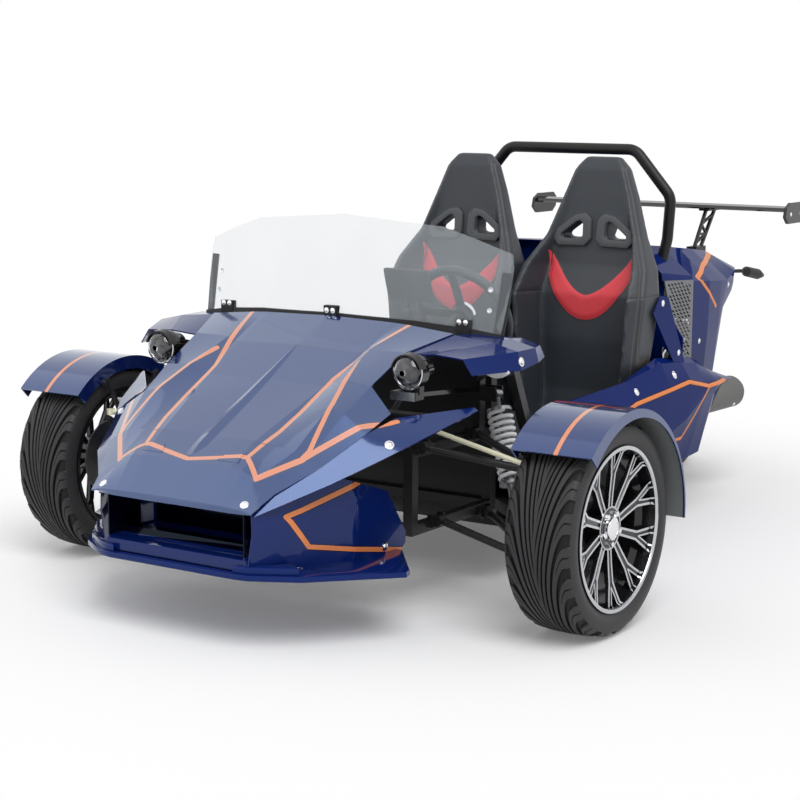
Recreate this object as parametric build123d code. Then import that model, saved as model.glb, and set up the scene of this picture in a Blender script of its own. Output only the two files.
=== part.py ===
from build123d import *
from math import cos, hypot, pi, radians, sin, sqrt
import os

# Three-wheeled open two-seat car: two steered wheels in front, one driven wheel behind.
# Millimetres. X is the car's left, -Y its front, +Z up. Places are measured from the front
# axle line on the ground and moved by FRONT_AXLE_Y when a node is written.

# Driving dimensions
TYRE_R = 298
TYRE_W = 205
WHEELBASE = 2160
TRACK_HALF = 876
NOSE_REACH = 712
FRONT_AXLE_Y = -(WHEELBASE + TYRE_R - NOSE_REACH) / 2
BEAD_R = 216
FLANGE_R = 227
SPINDLE_R = 15
RUNNING_GAP = 0.3
SKIN = 4
SHEET = 2
SCREEN_T = 4
TUBE_R = 19
RAIL = 30

# Front corner
KINGPIN_X = TRACK_HALF - 131
KNUCKLE_X = (KINGPIN_X - 16, KINGPIN_X + 14)
BALL_TOP_Z = 408
BALL_LOW_Z = 188
PIVOT_X = 420
FENDER_CLEAR = 32
FENDER_T = 4
FENDER_R = TYRE_R + FENDER_CLEAR
FENDER_IN = TRACK_HALF - TYRE_W / 2 - 7.5
FENDER_OUT = TRACK_HALF + TYRE_W / 2 + 29.5
FENDER_FRONT, FENDER_REAR = 135, -4

# Cockpit and tail
DASH_Y = 300
FRONT_Y = -150
TOWER_Y = 220
LOW_Z, HIGH_Z = 245, 466
FRONT_RAIL_X = 388
FLOOR_X = 430
FLOOR_Z = 165
FLOOR_FRONT, FLOOR_REAR = 420, WHEELBASE - 910
SEAT_X = 252
SEAT_Y = WHEELBASE - 1060
CUSHION_FRONT = DASH_Y + 304
WALL_Y = WHEELBASE - 830
PIVOT_Y = WHEELBASE - 470
PIVOT_Z = 330
ENGINE_Z = 232
TAIL_Y = WHEELBASE + 40
STEER_HUB = (250, 360, 800)
STEER_R = 150
COLUMN_TILT = 28
PLATE_Y = WHEELBASE + 278
PLATE_HOLES = 160


def v(p):
    return Vector(*p)


def block(x0, x1, y0, y1, z0, z1):
    middle = Pos((x0 + x1) / 2, (y0 + y1) / 2, (z0 + z1) / 2)
    return middle * Box(abs(x1 - x0), abs(y1 - y0), abs(z1 - z0))


def rod(p, q, r):
    axis = v(q) - v(p)
    return extrude(Plane(origin=v(p), z_dir=axis) * Circle(r), axis.length)


def beam(p, q, wide=RAIL, high=RAIL):
    axis = v(q) - v(p)
    side = Vector(1, 0, 0) if abs(axis.normalized().X) < 0.9 else Vector(0, 1, 0)
    plane = Plane(origin=v(p), x_dir=side - axis * (side.dot(axis) / axis.dot(axis)), z_dir=axis)
    return extrude(plane * Rectangle(wide, high), axis.length)


def pipe(points, r, bend):
    path = FilletPolyline(*[v(p) for p in points], radius=bend)
    return sweep(Plane(origin=path @ 0, z_dir=path % 0) * Circle(r), path=path)


def turned(p, q, profile):
    """A turned piece on the line from p towards q, from (distance, radius) points."""
    line = [(profile[0][0], 0)] + list(profile) + [(profile[-1][0], 0)]
    face = make_face(Polyline(*[(r, 0, t) for t, r in line], close=True))
    return Plane(origin=v(p), z_dir=v(q) - v(p)).location * revolve(face, axis=Axis.Z)


def main(shape):
    return max(shape.solids(), key=lambda piece: piece.volume)


def both(shape):
    return shape + mirror(shape, about=Plane.YZ)


def plate(points, plane, thick):
    return extrude(plane * make_face(Polyline(*points, close=True)), thick)


def side_plate(points, x, thick):
    """An upright plate from (y, z) points, its inner face at x."""
    return plate(points, Plane.YZ.offset(x), thick)


def strip(points, thick):
    """Closes an open line of (x, z) points with its copy set off by the panel's thickness."""
    normals = []
    for a, b in zip(points, points[1:]):
        length = hypot(b[0] - a[0], b[1] - a[1])
        normals.append(((b[1] - a[1]) / length, -(b[0] - a[0]) / length))
    inner = []
    for i, p in enumerate(points):
        m, n = normals[max(i - 1, 0)], normals[min(i, len(normals) - 1)]
        share = 1 + m[0] * n[0] + m[1] * n[1]
        inner.append((p[0] + thick * (m[0] + n[0]) / share, p[1] + thick * (m[1] + n[1]) / share))
    return list(points) + inner[::-1]


def hull(rows):
    """A solid through cross-sections: rows of y and a closed line of (x, z) points."""
    return loft([make_face(Polyline(*[(x, y, z) for x, z in line], close=True)) for y, line in rows], ruled=True)


def skin(rows, thick=SKIN):
    """A panel through cross-sections: rows of y and an open line of (x, z) points."""
    return hull([(y, strip(line, thick)) for y, line in rows])


def pairs(row):
    """The (x, z) points in a table row after its first column."""
    return list(zip(row[1::2], row[2::2]))


def mirrored(points):
    return [(-x, z) for x, z in points[::-1] if x > 0] + list(points)


def ring(points):
    """A body of revolution about the axle from (x, r) points."""
    face = make_face(Polyline(*[(x, r, 0) for x, r in points], close=True))
    return revolve(face, axis=Axis.X)


def facet_ring(points, sides):
    """A ring about the axle with flat facets, from (x, r) points."""
    faces = []
    for i in range(sides):
        start, end = 2 * pi * i / sides, 2 * pi * (i + 1) / sides
        for (x0, r0), (x1, r1) in zip(points, points[1:] + points[:1]):
            corners = [(x0, r0, start), (x1, r1, start), (x1, r1, end), (x0, r0, end)]
            faces.append(Face(Wire.make_polygon([(x, r * cos(a), r * sin(a)) for x, r, a in corners])))
    return Solid(Shell(faces))


os.makedirs("parts", exist_ok=True)


def put(name, shape):
    moved = Pos(0, FRONT_AXLE_Y, 0) * shape
    solids = moved.solids()
    export_step(solids[0] if len(solids) == 1 else Compound(children=list(solids)), f"parts/{name}.step")


def put_sides(name, shape):
    put(name + "_left", shape)
    put(name + "_right", mirror(shape, about=Plane.YZ))


# Wheels, modelled about their own centre with the outboard side towards +X
TYRE_SIDES = 72
tyre_bore = (BEAD_R + RUNNING_GAP / 4) / cos(pi / TYRE_SIDES)
TYRE_LINE = [(90, tyre_bore), (90, 229), (101, 243), (TYRE_W / 2, 258), (98, 278), (84, 291), (45, 296.5)]
tyre = facet_ring(TYRE_LINE + [(-x, r) for x, r in TYRE_LINE[::-1]], TYRE_SIDES)

RIM_LINE = [(97, FLANGE_R), (90, FLANGE_R), (90, BEAD_R), (60, BEAD_R), (46, 198)]
RIM_BACK = [(44, 190), (58, 208), (97, 216)]
barrel = ring(RIM_LINE + [(-x, r) for x, r in (RIM_BACK + RIM_LINE)[::-1]] + RIM_BACK)
HUB_IN, HUB_OUT, CAP_OUT, BORE_END = 22, 66, 79, 70
HUB_R, NUT_R, CAP_R = 60, 32, 29
bore_r = SPINDLE_R + RUNNING_GAP
hub_line = [(HUB_IN, bore_r), (HUB_IN, 64), (HUB_OUT, HUB_R), (HUB_OUT, NUT_R), (CAP_OUT, CAP_R)]
hub = ring(hub_line + [(CAP_OUT, 0), (BORE_END, 0), (BORE_END, bore_r)])
through_hub = ring(hub_line + [(CAP_OUT, bore_r)])
SPOKES = 10
FORK_R, FOOT_R, FOOT_SPREAD = 152, 209, 24


def spoke():
    shape = beam((56, 0, HUB_R - 12), (65, 0, FORK_R), 13, 20)
    for s in (-1, 1):
        shape += beam((64, 0, FORK_R - 8), (78, s * FOOT_SPREAD, FOOT_R), 10, 13)
    return shape


spokes = Part()
for i in range(SPOKES):
    spokes += Rot(X=360 / SPOKES * i) * spoke()
DISC_IN, DISC_OUT, DISC_R = -32, -27, 120
disc = ring([(DISC_IN, 60), (DISC_IN, DISC_R), (DISC_OUT, DISC_R), (DISC_OUT, 66),
             (HUB_IN, 60), (HUB_IN, 46), (-20, 46), (DISC_IN, 50)])
front_wheel = Pos(TRACK_HALF, 0, TYRE_R)
put_sides("tyre_front", front_wheel * tyre)
put_sides("rim_front", front_wheel * (barrel + hub + spokes))
put_sides("disc_front", front_wheel * disc)
rear_wheel = Pos(0, WHEELBASE, TYRE_R)
put("tyre_rear", rear_wheel * tyre)
put("rim_rear", rear_wheel * (barrel + through_hub + spokes))
put("disc_rear", rear_wheel * disc)

# Steered uprights: post between the ball joints, stub axle, steering arm, caliper, fender stays
ARM_REACH, ARM_Z = 110, 466
ARM_END = (KINGPIN_X, -ARM_REACH, ARM_Z)
CALIPER_HALF, CALIPER_IN, CALIPER_OUT = 46, DISC_IN - 18, DISC_OUT + 17
PAD_GAP = 6
disc_room = front_wheel * ring([(DISC_IN - PAD_GAP, 0), (DISC_IN - PAD_GAP, DISC_R + 5),
                                (DISC_OUT + PAD_GAP, DISC_R + 5), (DISC_OUT + PAD_GAP, 0)])
knuckle = block(*KNUCKLE_X, -24, 24, BALL_LOW_Z, BALL_TOP_Z)
knuckle += rod((KINGPIN_X, 0, TYRE_R), (TRACK_HALF + HUB_OUT + 2, 0, TYRE_R), SPINDLE_R)
knuckle += rod((KINGPIN_X, 0, TYRE_R), (TRACK_HALF + DISC_IN - 8, 0, TYRE_R), 34)
knuckle += beam((KINGPIN_X, -10, 384), (KINGPIN_X, -ARM_REACH - 16, ARM_Z - 14), 20, 12)
caliper = block(TRACK_HALF + CALIPER_IN, TRACK_HALF + CALIPER_OUT, 72, 128,
                TYRE_R - CALIPER_HALF, TYRE_R + CALIPER_HALF)
caliper += block(KINGPIN_X, TRACK_HALF + DISC_IN - PAD_GAP, 60, 92, TYRE_R - 16, TYRE_R + 16)
caliper += block(*KNUCKLE_X, 0, 92, TYRE_R - 16, TYRE_R + 16)
knuckle += caliper - disc_room
STAY_X, STAY_Y, STAY_DROP = KINGPIN_X + 6, 118, 34
stay_top = TYRE_R + sqrt(FENDER_R ** 2 - STAY_Y ** 2) - STAY_DROP
for s in (-1, 1):
    knuckle += beam((STAY_X, s * 10, 360), (STAY_X, s * STAY_Y, stay_top), 10, 12)
    knuckle += rod((STAY_X - 2, s * STAY_Y, stay_top - 14), (FENDER_IN, s * STAY_Y, stay_top - 14), 9)
END_R, END_LOW, END_HIGH = 13, 8, 10
knuckle -= rod((KINGPIN_X, -ARM_REACH, ARM_Z - END_LOW - RUNNING_GAP), (KINGPIN_X, -ARM_REACH, ARM_Z + 40), END_R + 4)
put_sides("knuckle", knuckle)

# Front fenders: a crown with an inner lip of one height and an outer lip that runs out to the rear
INNER_LIP = 42
LIP_ARC_R, LIP_SHIFT = FENDER_R - 26.6, 20.6


def fender_band(r_in, r_out, x0, x1):
    band = ring([(x0, r_in), (x1, r_in), (x1, r_out), (x0, r_out)])
    reach = 2 * FENDER_R
    front, rear = radians(FENDER_FRONT), radians(FENDER_REAR)
    wedge = [(0, 0), (reach * cos(rear), reach * sin(rear)), (reach, reach), (-reach, reach),
             (reach * cos(front), reach * sin(front))]
    keep = extrude(Plane.YZ * make_face(Polyline(*wedge, close=True)), 3 * FENDER_OUT)
    return band & keep


lip_arc = rod((FENDER_OUT - 60, LIP_SHIFT, 0), (FENDER_OUT + 20, LIP_SHIFT, 0), LIP_ARC_R)
fender = fender_band(FENDER_R - FENDER_T, FENDER_R, FENDER_IN, FENDER_OUT)
fender += fender_band(FENDER_R - INNER_LIP, FENDER_R, FENDER_IN, FENDER_IN + FENDER_T)
fender += fender_band(FENDER_R - INNER_LIP, FENDER_R, FENDER_OUT - FENDER_T, FENDER_OUT) - lip_arc
put_sides("fender", Pos(0, 0, TYRE_R) * fender)

# Tie rods: their inner ends run inside the rack's boots
TIE_IN = (335, -45, ARM_Z + 66)
tie_rod = rod(ARM_END, TIE_IN, 7) + Pos(*TIE_IN) * Sphere(9)
tie_rod += rod((KINGPIN_X, -ARM_REACH, ARM_Z - END_LOW), (KINGPIN_X, -ARM_REACH, ARM_Z + END_HIGH), END_R)
put_sides("tie_rod", tie_rod)

# Front suspension arms and coil-over struts, fixed in the parked position
UPPER_PIVOTS = ((-110, 480), (160, 480))
LOWER_PIVOTS = ((-30, 258), (232, 236))
EYE_HALF = 20


def wishbone(pivots, tip_z, housing):
    shape = rod((KINGPIN_X, 0, housing[0]), (KINGPIN_X, 0, housing[1]), 19)
    for y, z in pivots:
        shape += rod((PIVOT_X, y, z), (KINGPIN_X, 0, tip_z), 11)
        shape += rod((PIVOT_X, y - EYE_HALF, z), (PIVOT_X, y + EYE_HALF, z), 16)
    return shape


upper = wishbone(UPPER_PIVOTS, BALL_TOP_Z + 14, (BALL_TOP_Z + RUNNING_GAP, BALL_TOP_Z + 30))
lower = wishbone(LOWER_PIVOTS, BALL_LOW_Z - 22, (BALL_LOW_Z - 38, BALL_LOW_Z - RUNNING_GAP))
STRUT_TOP = (450, TOWER_Y, 590)
STRUT_LOW = (KINGPIN_X - 155, 122, 240)
STRUT_EYE = 14
low_x, low_y, low_z = STRUT_LOW
lower += block(low_x - STRUT_EYE, low_x + STRUT_EYE, low_y - 22, low_y + 18, low_z - 35, low_z - 4)
put("upper_arms", both(upper))
put("lower_arms", both(lower))
strut_axis = v(STRUT_TOP) - v(STRUT_LOW)
length = strut_axis.length
SEAT_LOW, SEAT_HIGH, PERCH_R = 0.31, 0.87, 38
strut = turned(STRUT_LOW, STRUT_TOP, [
    (0, 16), (SEAT_LOW * length - 4, 16), (SEAT_LOW * length - 4, PERCH_R), (SEAT_LOW * length + 4, PERCH_R),
    (SEAT_LOW * length + 4, 18), (0.62 * length, 18), (0.62 * length, 8), (SEAT_HIGH * length - 5, 8),
    (SEAT_HIGH * length - 5, PERCH_R), (SEAT_HIGH * length + 5, PERCH_R), (SEAT_HIGH * length + 5, 8), (length, 8)])
for x, y, z in (STRUT_LOW, STRUT_TOP):
    strut += rod((x, y - STRUT_EYE, z), (x, y + STRUT_EYE, z), STRUT_EYE)
put("struts", both(strut - lower))
COILS, WIRE = 7, 9
spring_run = (SEAT_HIGH - SEAT_LOW) * length - 9
helix = Helix(pitch=(spring_run - WIRE) / COILS, height=spring_run - WIRE, radius=31)
wire = sweep(Plane(origin=helix @ 0, z_dir=helix % 0) * Rectangle(WIRE, WIRE), path=helix, is_frenet=True)
spring_foot = v(STRUT_LOW) + strut_axis.normalized() * (SEAT_LOW * length + 4 + WIRE / 2)
spring = Plane(origin=spring_foot, z_dir=strut_axis).location * wire
put("springs", both(spring - strut))

# Hood: columns are y, centre height, then x and z of crest, panel edge, ridge, shoulder and flank
HOOD_NOSE = [
    (-712, 392, 150, 391, 190, 390, 235, 388, 255, 385, 275, 381),
    (-640, 480, 152, 480, 190, 476, 236, 456, 268, 440, 300, 425),
    (-540, 533, 160, 537, 197, 531, 290, 522, 325, 503, 365, 480),
    (-400, 603, 185, 604, 207, 598, 298, 620, 350, 606, 420, 560),
    (-290, 659, 200, 655, 216, 654, 268, 680, 360, 670, 425, 600),
]
HOOD_REAR = [
    (-290, 659, 200, 655, 216, 654, 268, 680, 360, 670),
    (-140, 739, 212, 733, 228, 732, 252, 744, 372, 745),
    (14, 808, 224, 803, 240, 802, 277, 800, 430, 786),
]


def hood_rows(table):
    return [(row[0], mirrored([(0, row[1])] + pairs(row[1:]))) for row in table]


hood = skin(hood_rows(HOOD_NOSE)) + skin(hood_rows(HOOD_REAR))
EMBOSS = [(95, -625), (165, -625), (160, -592), (112, -592)]
emboss = plate(EMBOSS, Plane.XY, 900) + plate([(-x, y) for x, y in EMBOSS], Plane.XY, 900)
raised = Pos(0, 0, 2) * hood & emboss
hood += raised
put("hood", main(hood))

# Front frame of square tube
INTAKE_BACK = -480
UPRIGHT_Y = (FRONT_Y + RAIL / 2, DASH_Y - RAIL / 2)
DASH_Z = 705
front = Part()
for s in (-1, 1):
    x = s * FRONT_RAIL_X
    for z in (LOW_Z, HIGH_Z):
        front += beam((x, FRONT_Y, z), (x, DASH_Y, z))
    for y in UPRIGHT_Y:
        front += beam((x, y, LOW_Z), (x, y, HIGH_Z))
    front += beam((x, UPRIGHT_Y[1], HIGH_Z), (x, UPRIGHT_Y[1], DASH_Z + RAIL / 2))
    front += beam((x, TOWER_Y, HIGH_Z), (x, TOWER_Y, STRUT_TOP[2] + 50))
    for y in (TOWER_Y - STRUT_EYE - 7, TOWER_Y + STRUT_EYE + 1):
        front += block(x - s * RAIL / 2, s * (STRUT_TOP[0] + 10), y, y + 6, STRUT_TOP[2] - 20, STRUT_TOP[2] + 22)
    front += beam((s * 240, FRONT_Y, LOW_Z), (s * 240, INTAKE_BACK, LOW_Z))
    front += beam((s * 300, FRONT_Y, HIGH_Z), (s * 240, INTAKE_BACK + 60, HIGH_Z + 20))
    front += beam((s * 548, 118, 722), (s * 458, 400, 430)) + beam((s * 458, 396, 436), (s * 432, 412, 185))
    front += beam((x, 150, DASH_Z + 18), (s * 548, 132, DASH_Z + 5), 24, 24)
    front += beam((x, 150, DASH_Z + 18), (x, UPRIGHT_Y[1], DASH_Z), 24, 24)
    hood_post = beam((s * 240, -410, HIGH_Z + 30), (s * 240, -410, 700), 24, 24) - hood
    front += min(hood_post.solids(), key=lambda piece: piece.center().Z)
for y, z in ((UPRIGHT_Y[0], LOW_Z), (UPRIGHT_Y[0], HIGH_Z), (UPRIGHT_Y[1], LOW_Z), (UPRIGHT_Y[1], DASH_Z)):
    front += beam((-FRONT_RAIL_X, y, z), (FRONT_RAIL_X, y, z))
EYE_GAP = EYE_HALF + RUNNING_GAP
for y, z in UPPER_PIVOTS + LOWER_PIVOTS:
    for s in (-1, 1):
        for y0, y1 in ((y - 30, y - EYE_GAP), (y + EYE_GAP, y + 30)):
            front += block(s * (FRONT_RAIL_X + 7), s * (PIVOT_X - 4), y0, y1, z - 18, z + 18)
front -= both(upper + lower)
put("frame_front", front)

# Floor frame
floor = Part()
for s in (-1, 1):
    floor += beam((s * FLOOR_X, FLOOR_FRONT - RAIL / 2, FLOOR_Z), (s * FLOOR_X, FLOOR_REAR + RAIL / 2, FLOOR_Z))
    floor += beam((s * FRONT_RAIL_X, DASH_Y, LOW_Z), (s * FLOOR_X, FLOOR_FRONT, FLOOR_Z))
for y in (FLOOR_FRONT, (FLOOR_FRONT + FLOOR_REAR) / 2, FLOOR_REAR):
    floor += beam((-FLOOR_X, y, FLOOR_Z), (FLOOR_X, y, FLOOR_Z))
floor -= front
put("frame_floor", floor)

# Side blades of the hood: columns are y, x and z of the top edge, x and z of the lower edge
BLADE = [
    (-640, 294, 430, 326, 408),
    (-540, 358, 485, 400, 464),
    (-400, 412, 570, 464, 500),
    (-290, 421, 605, 545, 556),
    (-130, 588, 624, 602, 610),
]
blade = main(skin([(row[0], pairs(row)) for row in BLADE]) - hood)
put("hood_blades", both(blade))

# Nose: side pods with the intake and its stepped sill between them
NOSE = [
    (-690, 262, 376, 264, 320, 250, 235),
    (-560, 318, 408, 330, 350, 315, 215),
    (-400, 372, 452, 392, 380, 380, 190),
    (-180, 400, 468, 408, 390, 398, 150),
]
INTAKE_X, INTAKE_Z = 232, 232
pod = skin([(row[0], pairs(row)) for row in NOSE])
intake = block(-INTAKE_X - 18, INTAKE_X + 18, -690, INTAKE_BACK, INTAKE_Z, INTAKE_Z + SKIN)
intake += both(block(INTAKE_X, INTAKE_X + SKIN, -690, -560, INTAKE_Z, 380))
intake += block(-INTAKE_X - 18, INTAKE_X + 18, INTAKE_BACK - 6, INTAKE_BACK, INTAKE_Z, 420)
SILL = [(-690, 218), (-690, 248), (-676, 250), (-640, 250), (-628, 272), (-600, 274), (-600, 218)]
intake += extrude(Plane.YZ * make_face(Polyline(*SILL, close=True)), INTAKE_X + 10, both=True)
nose = both(pod) + intake
nose -= hood + both(blade) + front

# Splitter: flat lip with swept tips and a raised corner each side
LIP_Z, LIP_T = 208, 10
LIP_LINE = [(0, -NOSE_REACH), (205, -706), (300, -610), (500, -300), (470, -262), (396, -330), (318, -560),
            (252, -640), (0, -640)]
CORNER = [(212, -698), (296, -610), (256, -640), (236, -690)]
lip_half = plate(LIP_LINE, Plane.XY.offset(LIP_Z), LIP_T) + plate(CORNER, Plane.XY.offset(LIP_Z + LIP_T), 8)
splitter = both(lip_half) - both(pod)
put("splitter", main(splitter))
put("nose", main(nose - splitter))

# Cowl shelf round the screen base with drooping side tips
COWL = [
    (-140, 376, 741, 470, 748, 560, 742, 590, 700),
    (14, 434, 782, 560, 770, 640, 752, 652, 700),
    (110, 470, 780, 560, 772, 640, 752, 652, 712),
    (170, 470, 770, 560, 768, 620, 752, 636, 720),
]
cowl = both(skin([(row[0], pairs(row)) for row in COWL]))
cowl += block(-472, 472, 150, 170, 770, 778)
cowl -= hood + front
put("cowl", cowl)

# Windscreen: bowed clear sheet between trims at its base and ends
SCREEN = [(0, 1100), (328, 1075), (428, 1043), (536, 1004), (544, 965), (539, 881), (527, 766), (300, 780), (0, 790)]
BASE_TRIM = [(0, 814), (277, 808), (430, 796), (534, 780), (532, 760), (300, 776), (0, 786)]
END_TRIM = [(506, 764), (534, 764), (542, 872), (542, 952), (512, 952)]
SCREEN_HALF, SCREEN_BOW, SCREEN_END = 560, 20, 108


def screen_wall(front_gap, thick):
    """The bowed and leaned wall that the sheet and its trims are cut from."""
    ahead = [(-SCREEN_HALF, SCREEN_END + front_gap), (0, SCREEN_BOW + front_gap), (SCREEN_HALF, SCREEN_END + front_gap)]
    front_arc = ThreePointArc(*ahead)
    back_arc = ThreePointArc(*[(x, y + thick) for x, y in ahead[::-1]])
    sides = Line(front_arc @ 1, back_arc @ 0) + Line(back_arc @ 1, front_arc @ 0)
    return extrude(Plane.XY.offset(740) * make_face(front_arc + back_arc + sides), 380, dir=(0, 0.2, 1))


def cut_out(line):
    outline = line + [(-x, z) for x, z in line[::-1] if x > 0]
    return extrude(Plane.XZ * make_face(Polyline(*outline, close=True)), 600, both=True)


screen = main(((screen_wall(0, SCREEN_T) & cut_out(SCREEN)) - cowl) - hood)
put("windscreen", screen)
end_face = extrude(Plane.XZ * make_face(Polyline(*END_TRIM, close=True)), 600, both=True)
trim = screen_wall(-5, SCREEN_T + 10) & cut_out(BASE_TRIM)
trim += screen_wall(SCREEN_T, 5) & both(end_face)
for x in (-425, 0, 425):
    y = 20 + 88 * (x / SCREEN_HALF) ** 2
    trim += block(x - 22, x + 22, y - 2, y + SCREEN_T + 14, 790 - abs(x) * 0.04, 836 - abs(x) * 0.04)
put("screen_trim", main(trim - screen - hood - cowl))

# Seats: columns are height, half width, half width between bolsters, and y of face, bolster and back
SEAT_BACK = [
    (330, 205, 150, -5, -100, 90),
    (470, 205, 150, 17, -90, 100),
    (640, 235, 160, 13, -100, 105),
    (790, 250, 165, 20, -100, 115),
    (880, 232, 160, 58, -42, 125),
    (980, 178, 135, 72, 40, 140),
    (1110, 133, 100, 86, 78, 155),
    (1200, 98, 70, 98, 94, 160),
    (1240, 62, 40, 118, 116, 150),
]
BELT_RING = [(30, 972), (33, 1030), (50, 1046), (74, 1038), (140, 986), (142, 966), (122, 952), (44, 956)]
BELT_HOLE = [(46, 978), (48, 1024), (54, 1030), (66, 1024), (122, 982), (120, 972), (54, 970)]
RING_OUT = 5


def seat_section(row):
    z, half, inner, face, bolster, back = row
    quarter = (back - bolster) / 4
    side = [(inner, face), ((half + inner) / 2, bolster), (half, bolster + quarter), (half, back - quarter),
            (half * 0.88, back)]
    outline = [(-x, y) for x, y in side] + [(x, y) for x, y in side[::-1]]
    return make_face(Polyline(*[(x, SEAT_Y + y, z) for x, y in outline], close=True))


def upright(points, y0, y1):
    """A block between y0 and y1 with an outline of (x, z) points."""
    return extrude(Plane.XZ.offset(-y1) * make_face(Polyline(*points, close=True)), y1 - y0)


CUSHION = [(-210, 250), (-226, 300), (-222, 388), (-178, 398), (-150, 352), (150, 352), (178, 398), (222, 388),
           (226, 300), (210, 250)]
CUSHION_NOSE = [(-190, 262), (-204, 290), (-200, 340), (-170, 346), (-150, 330), (150, 330), (170, 346), (200, 340),
                (204, 290), (190, 262)]
seat = loft([seat_section(row) for row in SEAT_BACK], ruled=True)
seat += hull([(CUSHION_FRONT, CUSHION_NOSE), (CUSHION_FRONT + 36, CUSHION), (SEAT_Y - 20, CUSHION)])
seat += block(-180, 180, SEAT_Y - 30, SEAT_Y + 80, 250, 340)
for s in (-1, 1):
    hole = upright([(s * x, z) for x, z in BELT_HOLE], SEAT_Y - 100, SEAT_Y + 300)
    rim_block = upright([(s * x, z) for x, z in BELT_RING], SEAT_Y + 40, SEAT_Y + 110)
    face_slab = loft([seat_section((z, h + 40, i + 60, f - RING_OUT, f - RING_OUT, k)) for z, h, i, f, b, k
                      in SEAT_BACK[4:7]], ruled=True)
    seat += rim_block & face_slab
    seat -= hole
for side, word in ((1, "left"), (-1, "right")):
    put("seat_" + word, Pos(side * SEAT_X, 0, 0) * main(seat))

# Floor, front bulkhead and seat rails
pan_top = FLOOR_Z + RAIL / 2 + SHEET
pan = block(-445, 445, DASH_Y, FLOOR_REAR + 10, pan_top - SHEET, pan_top)
pan += block(-FRONT_RAIL_X + 14, FRONT_RAIL_X - 14, DASH_Y - SKIN, DASH_Y, 232, 690)
floor_pan = pan - front - floor
put("floor_pan", floor_pan)
rails = Part()
for s in (-1, 1):
    for x in (-150, 150):
        middle = s * SEAT_X + x
        rails += block(middle - 20, middle + 20, CUSHION_FRONT + 40, SEAT_Y - 30, pan_top, 250)
put("seat_rails", rails)

# Roll bar
BAR = [(345, 100, 180), (345, 110, 760), (380, 128, 960), (388, 130, 1100), (250, 130, 1257)]
bar_line = [(x, WALL_Y + y, z) for x, y, z in BAR]
bar = pipe(bar_line + [(-x, y, z) for x, y, z in bar_line[::-1]], TUBE_R, 60)
put("roll_bar", bar)

# Rear frame, engine and drive arm
REAR_X, LOOP_X, RAIL_REAR_Z, RAIL_END_Z = 200, 345, 700, 760
rear = Part()
for s in (-1, 1):
    x, outer = s * REAR_X, s * LOOP_X
    rear += beam((x, FLOOR_REAR + RAIL / 2, FLOOR_Z), (x, PIVOT_Y + RAIL, 250))
    rear += beam((x, PIVOT_Y, 250), (x, PIVOT_Y, RAIL_REAR_Z))
    rear += beam((x, WALL_Y - 30, RAIL_REAR_Z), (x, TAIL_Y - 140, RAIL_END_Z))
    rear += beam((outer, FLOOR_REAR, FLOOR_Z), (outer, WALL_Y + 130, FLOOR_Z))
    rear += beam((x, WALL_Y + 100, 200), (outer, WALL_Y + 100, 200))
    rear += beam((x, WALL_Y + 100, RAIL_REAR_Z), (outer, WALL_Y + 100, RAIL_REAR_Z))
for y, z in ((WALL_Y + 100, RAIL_REAR_Z), (PIVOT_Y, RAIL_REAR_Z), (TAIL_Y - 155, RAIL_END_Z - 2),
             (PIVOT_Y, 250), (WALL_Y + 170, ENGINE_Z - RAIL / 2)):
    rear += beam((-REAR_X, y, z), (REAR_X, y, z))
rear -= bar + floor
put("frame_rear", rear)
engine = block(-150, 150, WALL_Y + 10, PIVOT_Y - 50, ENGINE_Z, 560)
put("engine", engine - rear)
ARM_X, AXLE_HALF = 150, 162
pivot_half = REAR_X - RAIL / 2 - RUNNING_GAP
swing = rod((-pivot_half, PIVOT_Y, PIVOT_Z), (pivot_half, PIVOT_Y, PIVOT_Z), 22)
swing += rod((-AXLE_HALF, WHEELBASE, TYRE_R), (AXLE_HALF, WHEELBASE, TYRE_R), SPINDLE_R)
for s in (-1, 1):
    swing += beam((s * ARM_X, PIVOT_Y, PIVOT_Z), (s * ARM_X, WHEELBASE + 40, TYRE_R), 24, 50)
put("swingarm", swing)

# Side panels: columns are the share of the run, then x and z of inner top, outer top, crease, fold and hem
SIDE_FRONT, SIDE_END = DASH_Y + 80, WHEELBASE - 400
SIDE = [
    (0.000, 490, 520, 505, 520, 535, 470, 525, 330, 480, 180),
    (0.390, 492, 535, 512, 545, 550, 472, 535, 330, 480, 180),
    (0.565, 492, 590, 515, 575, 553, 488, 540, 330, 480, 200),
    (0.680, 488, 575, 512, 560, 552, 497, 545, 380, 480, 212),
    (0.775, 480, 560, 503, 540, 550, 462, 545, 440, 478, 212),
    (0.855, 462, 530, 486, 512, 543, 462, 520, 420, 470, 215),
    (0.913, 440, 500, 468, 492, 532, 462, 500, 430, 462, 318),
    (1.000, 415, 470, 440, 466, 500, 452, 470, 440, 450, 420),
]
side_rows = [(SIDE_FRONT + row[0] * (SIDE_END - SIDE_FRONT), pairs(row)) for row in SIDE]
side_panel = skin(side_rows) + block(FLOOR_X + RAIL / 2, 482, 600, 640, FLOOR_Z, 204)
side_panels = both(side_panel) - floor_pan - front
put("side_panels", both(main(side_panels)))

# Rear cover: columns are distance to the rear axle, then x and z down from the centre line
COVER_FRONT = [
    (-855, 0, 945, 330, 942, 436, 856, 442, 826),
    (-630, 0, 932, 320, 926, 440, 830, 446, 812),
]
COVER_TAIL = [
    (-630, 0, 932, 320, 926, 446, 812, 441, 640, 432, 520),
    (-460, 0, 915, 305, 908, 432, 798, 428, 630, 415, 480),
    (-304, 0, 900, 285, 892, 405, 785, 395, 610, 380, 456),
    (-210, 0, 890, 262, 882, 385, 780, 378, 722, 370, 677),
    (-60, 0, 875, 225, 866, 345, 800, 340, 750, 335, 727),
    (40, 0, 858, 190, 850, 300, 800, 298, 765, 295, 745),
]


def cover_rows(table):
    return [(WHEELBASE + row[0], mirrored(pairs(row))) for row in table]


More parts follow.
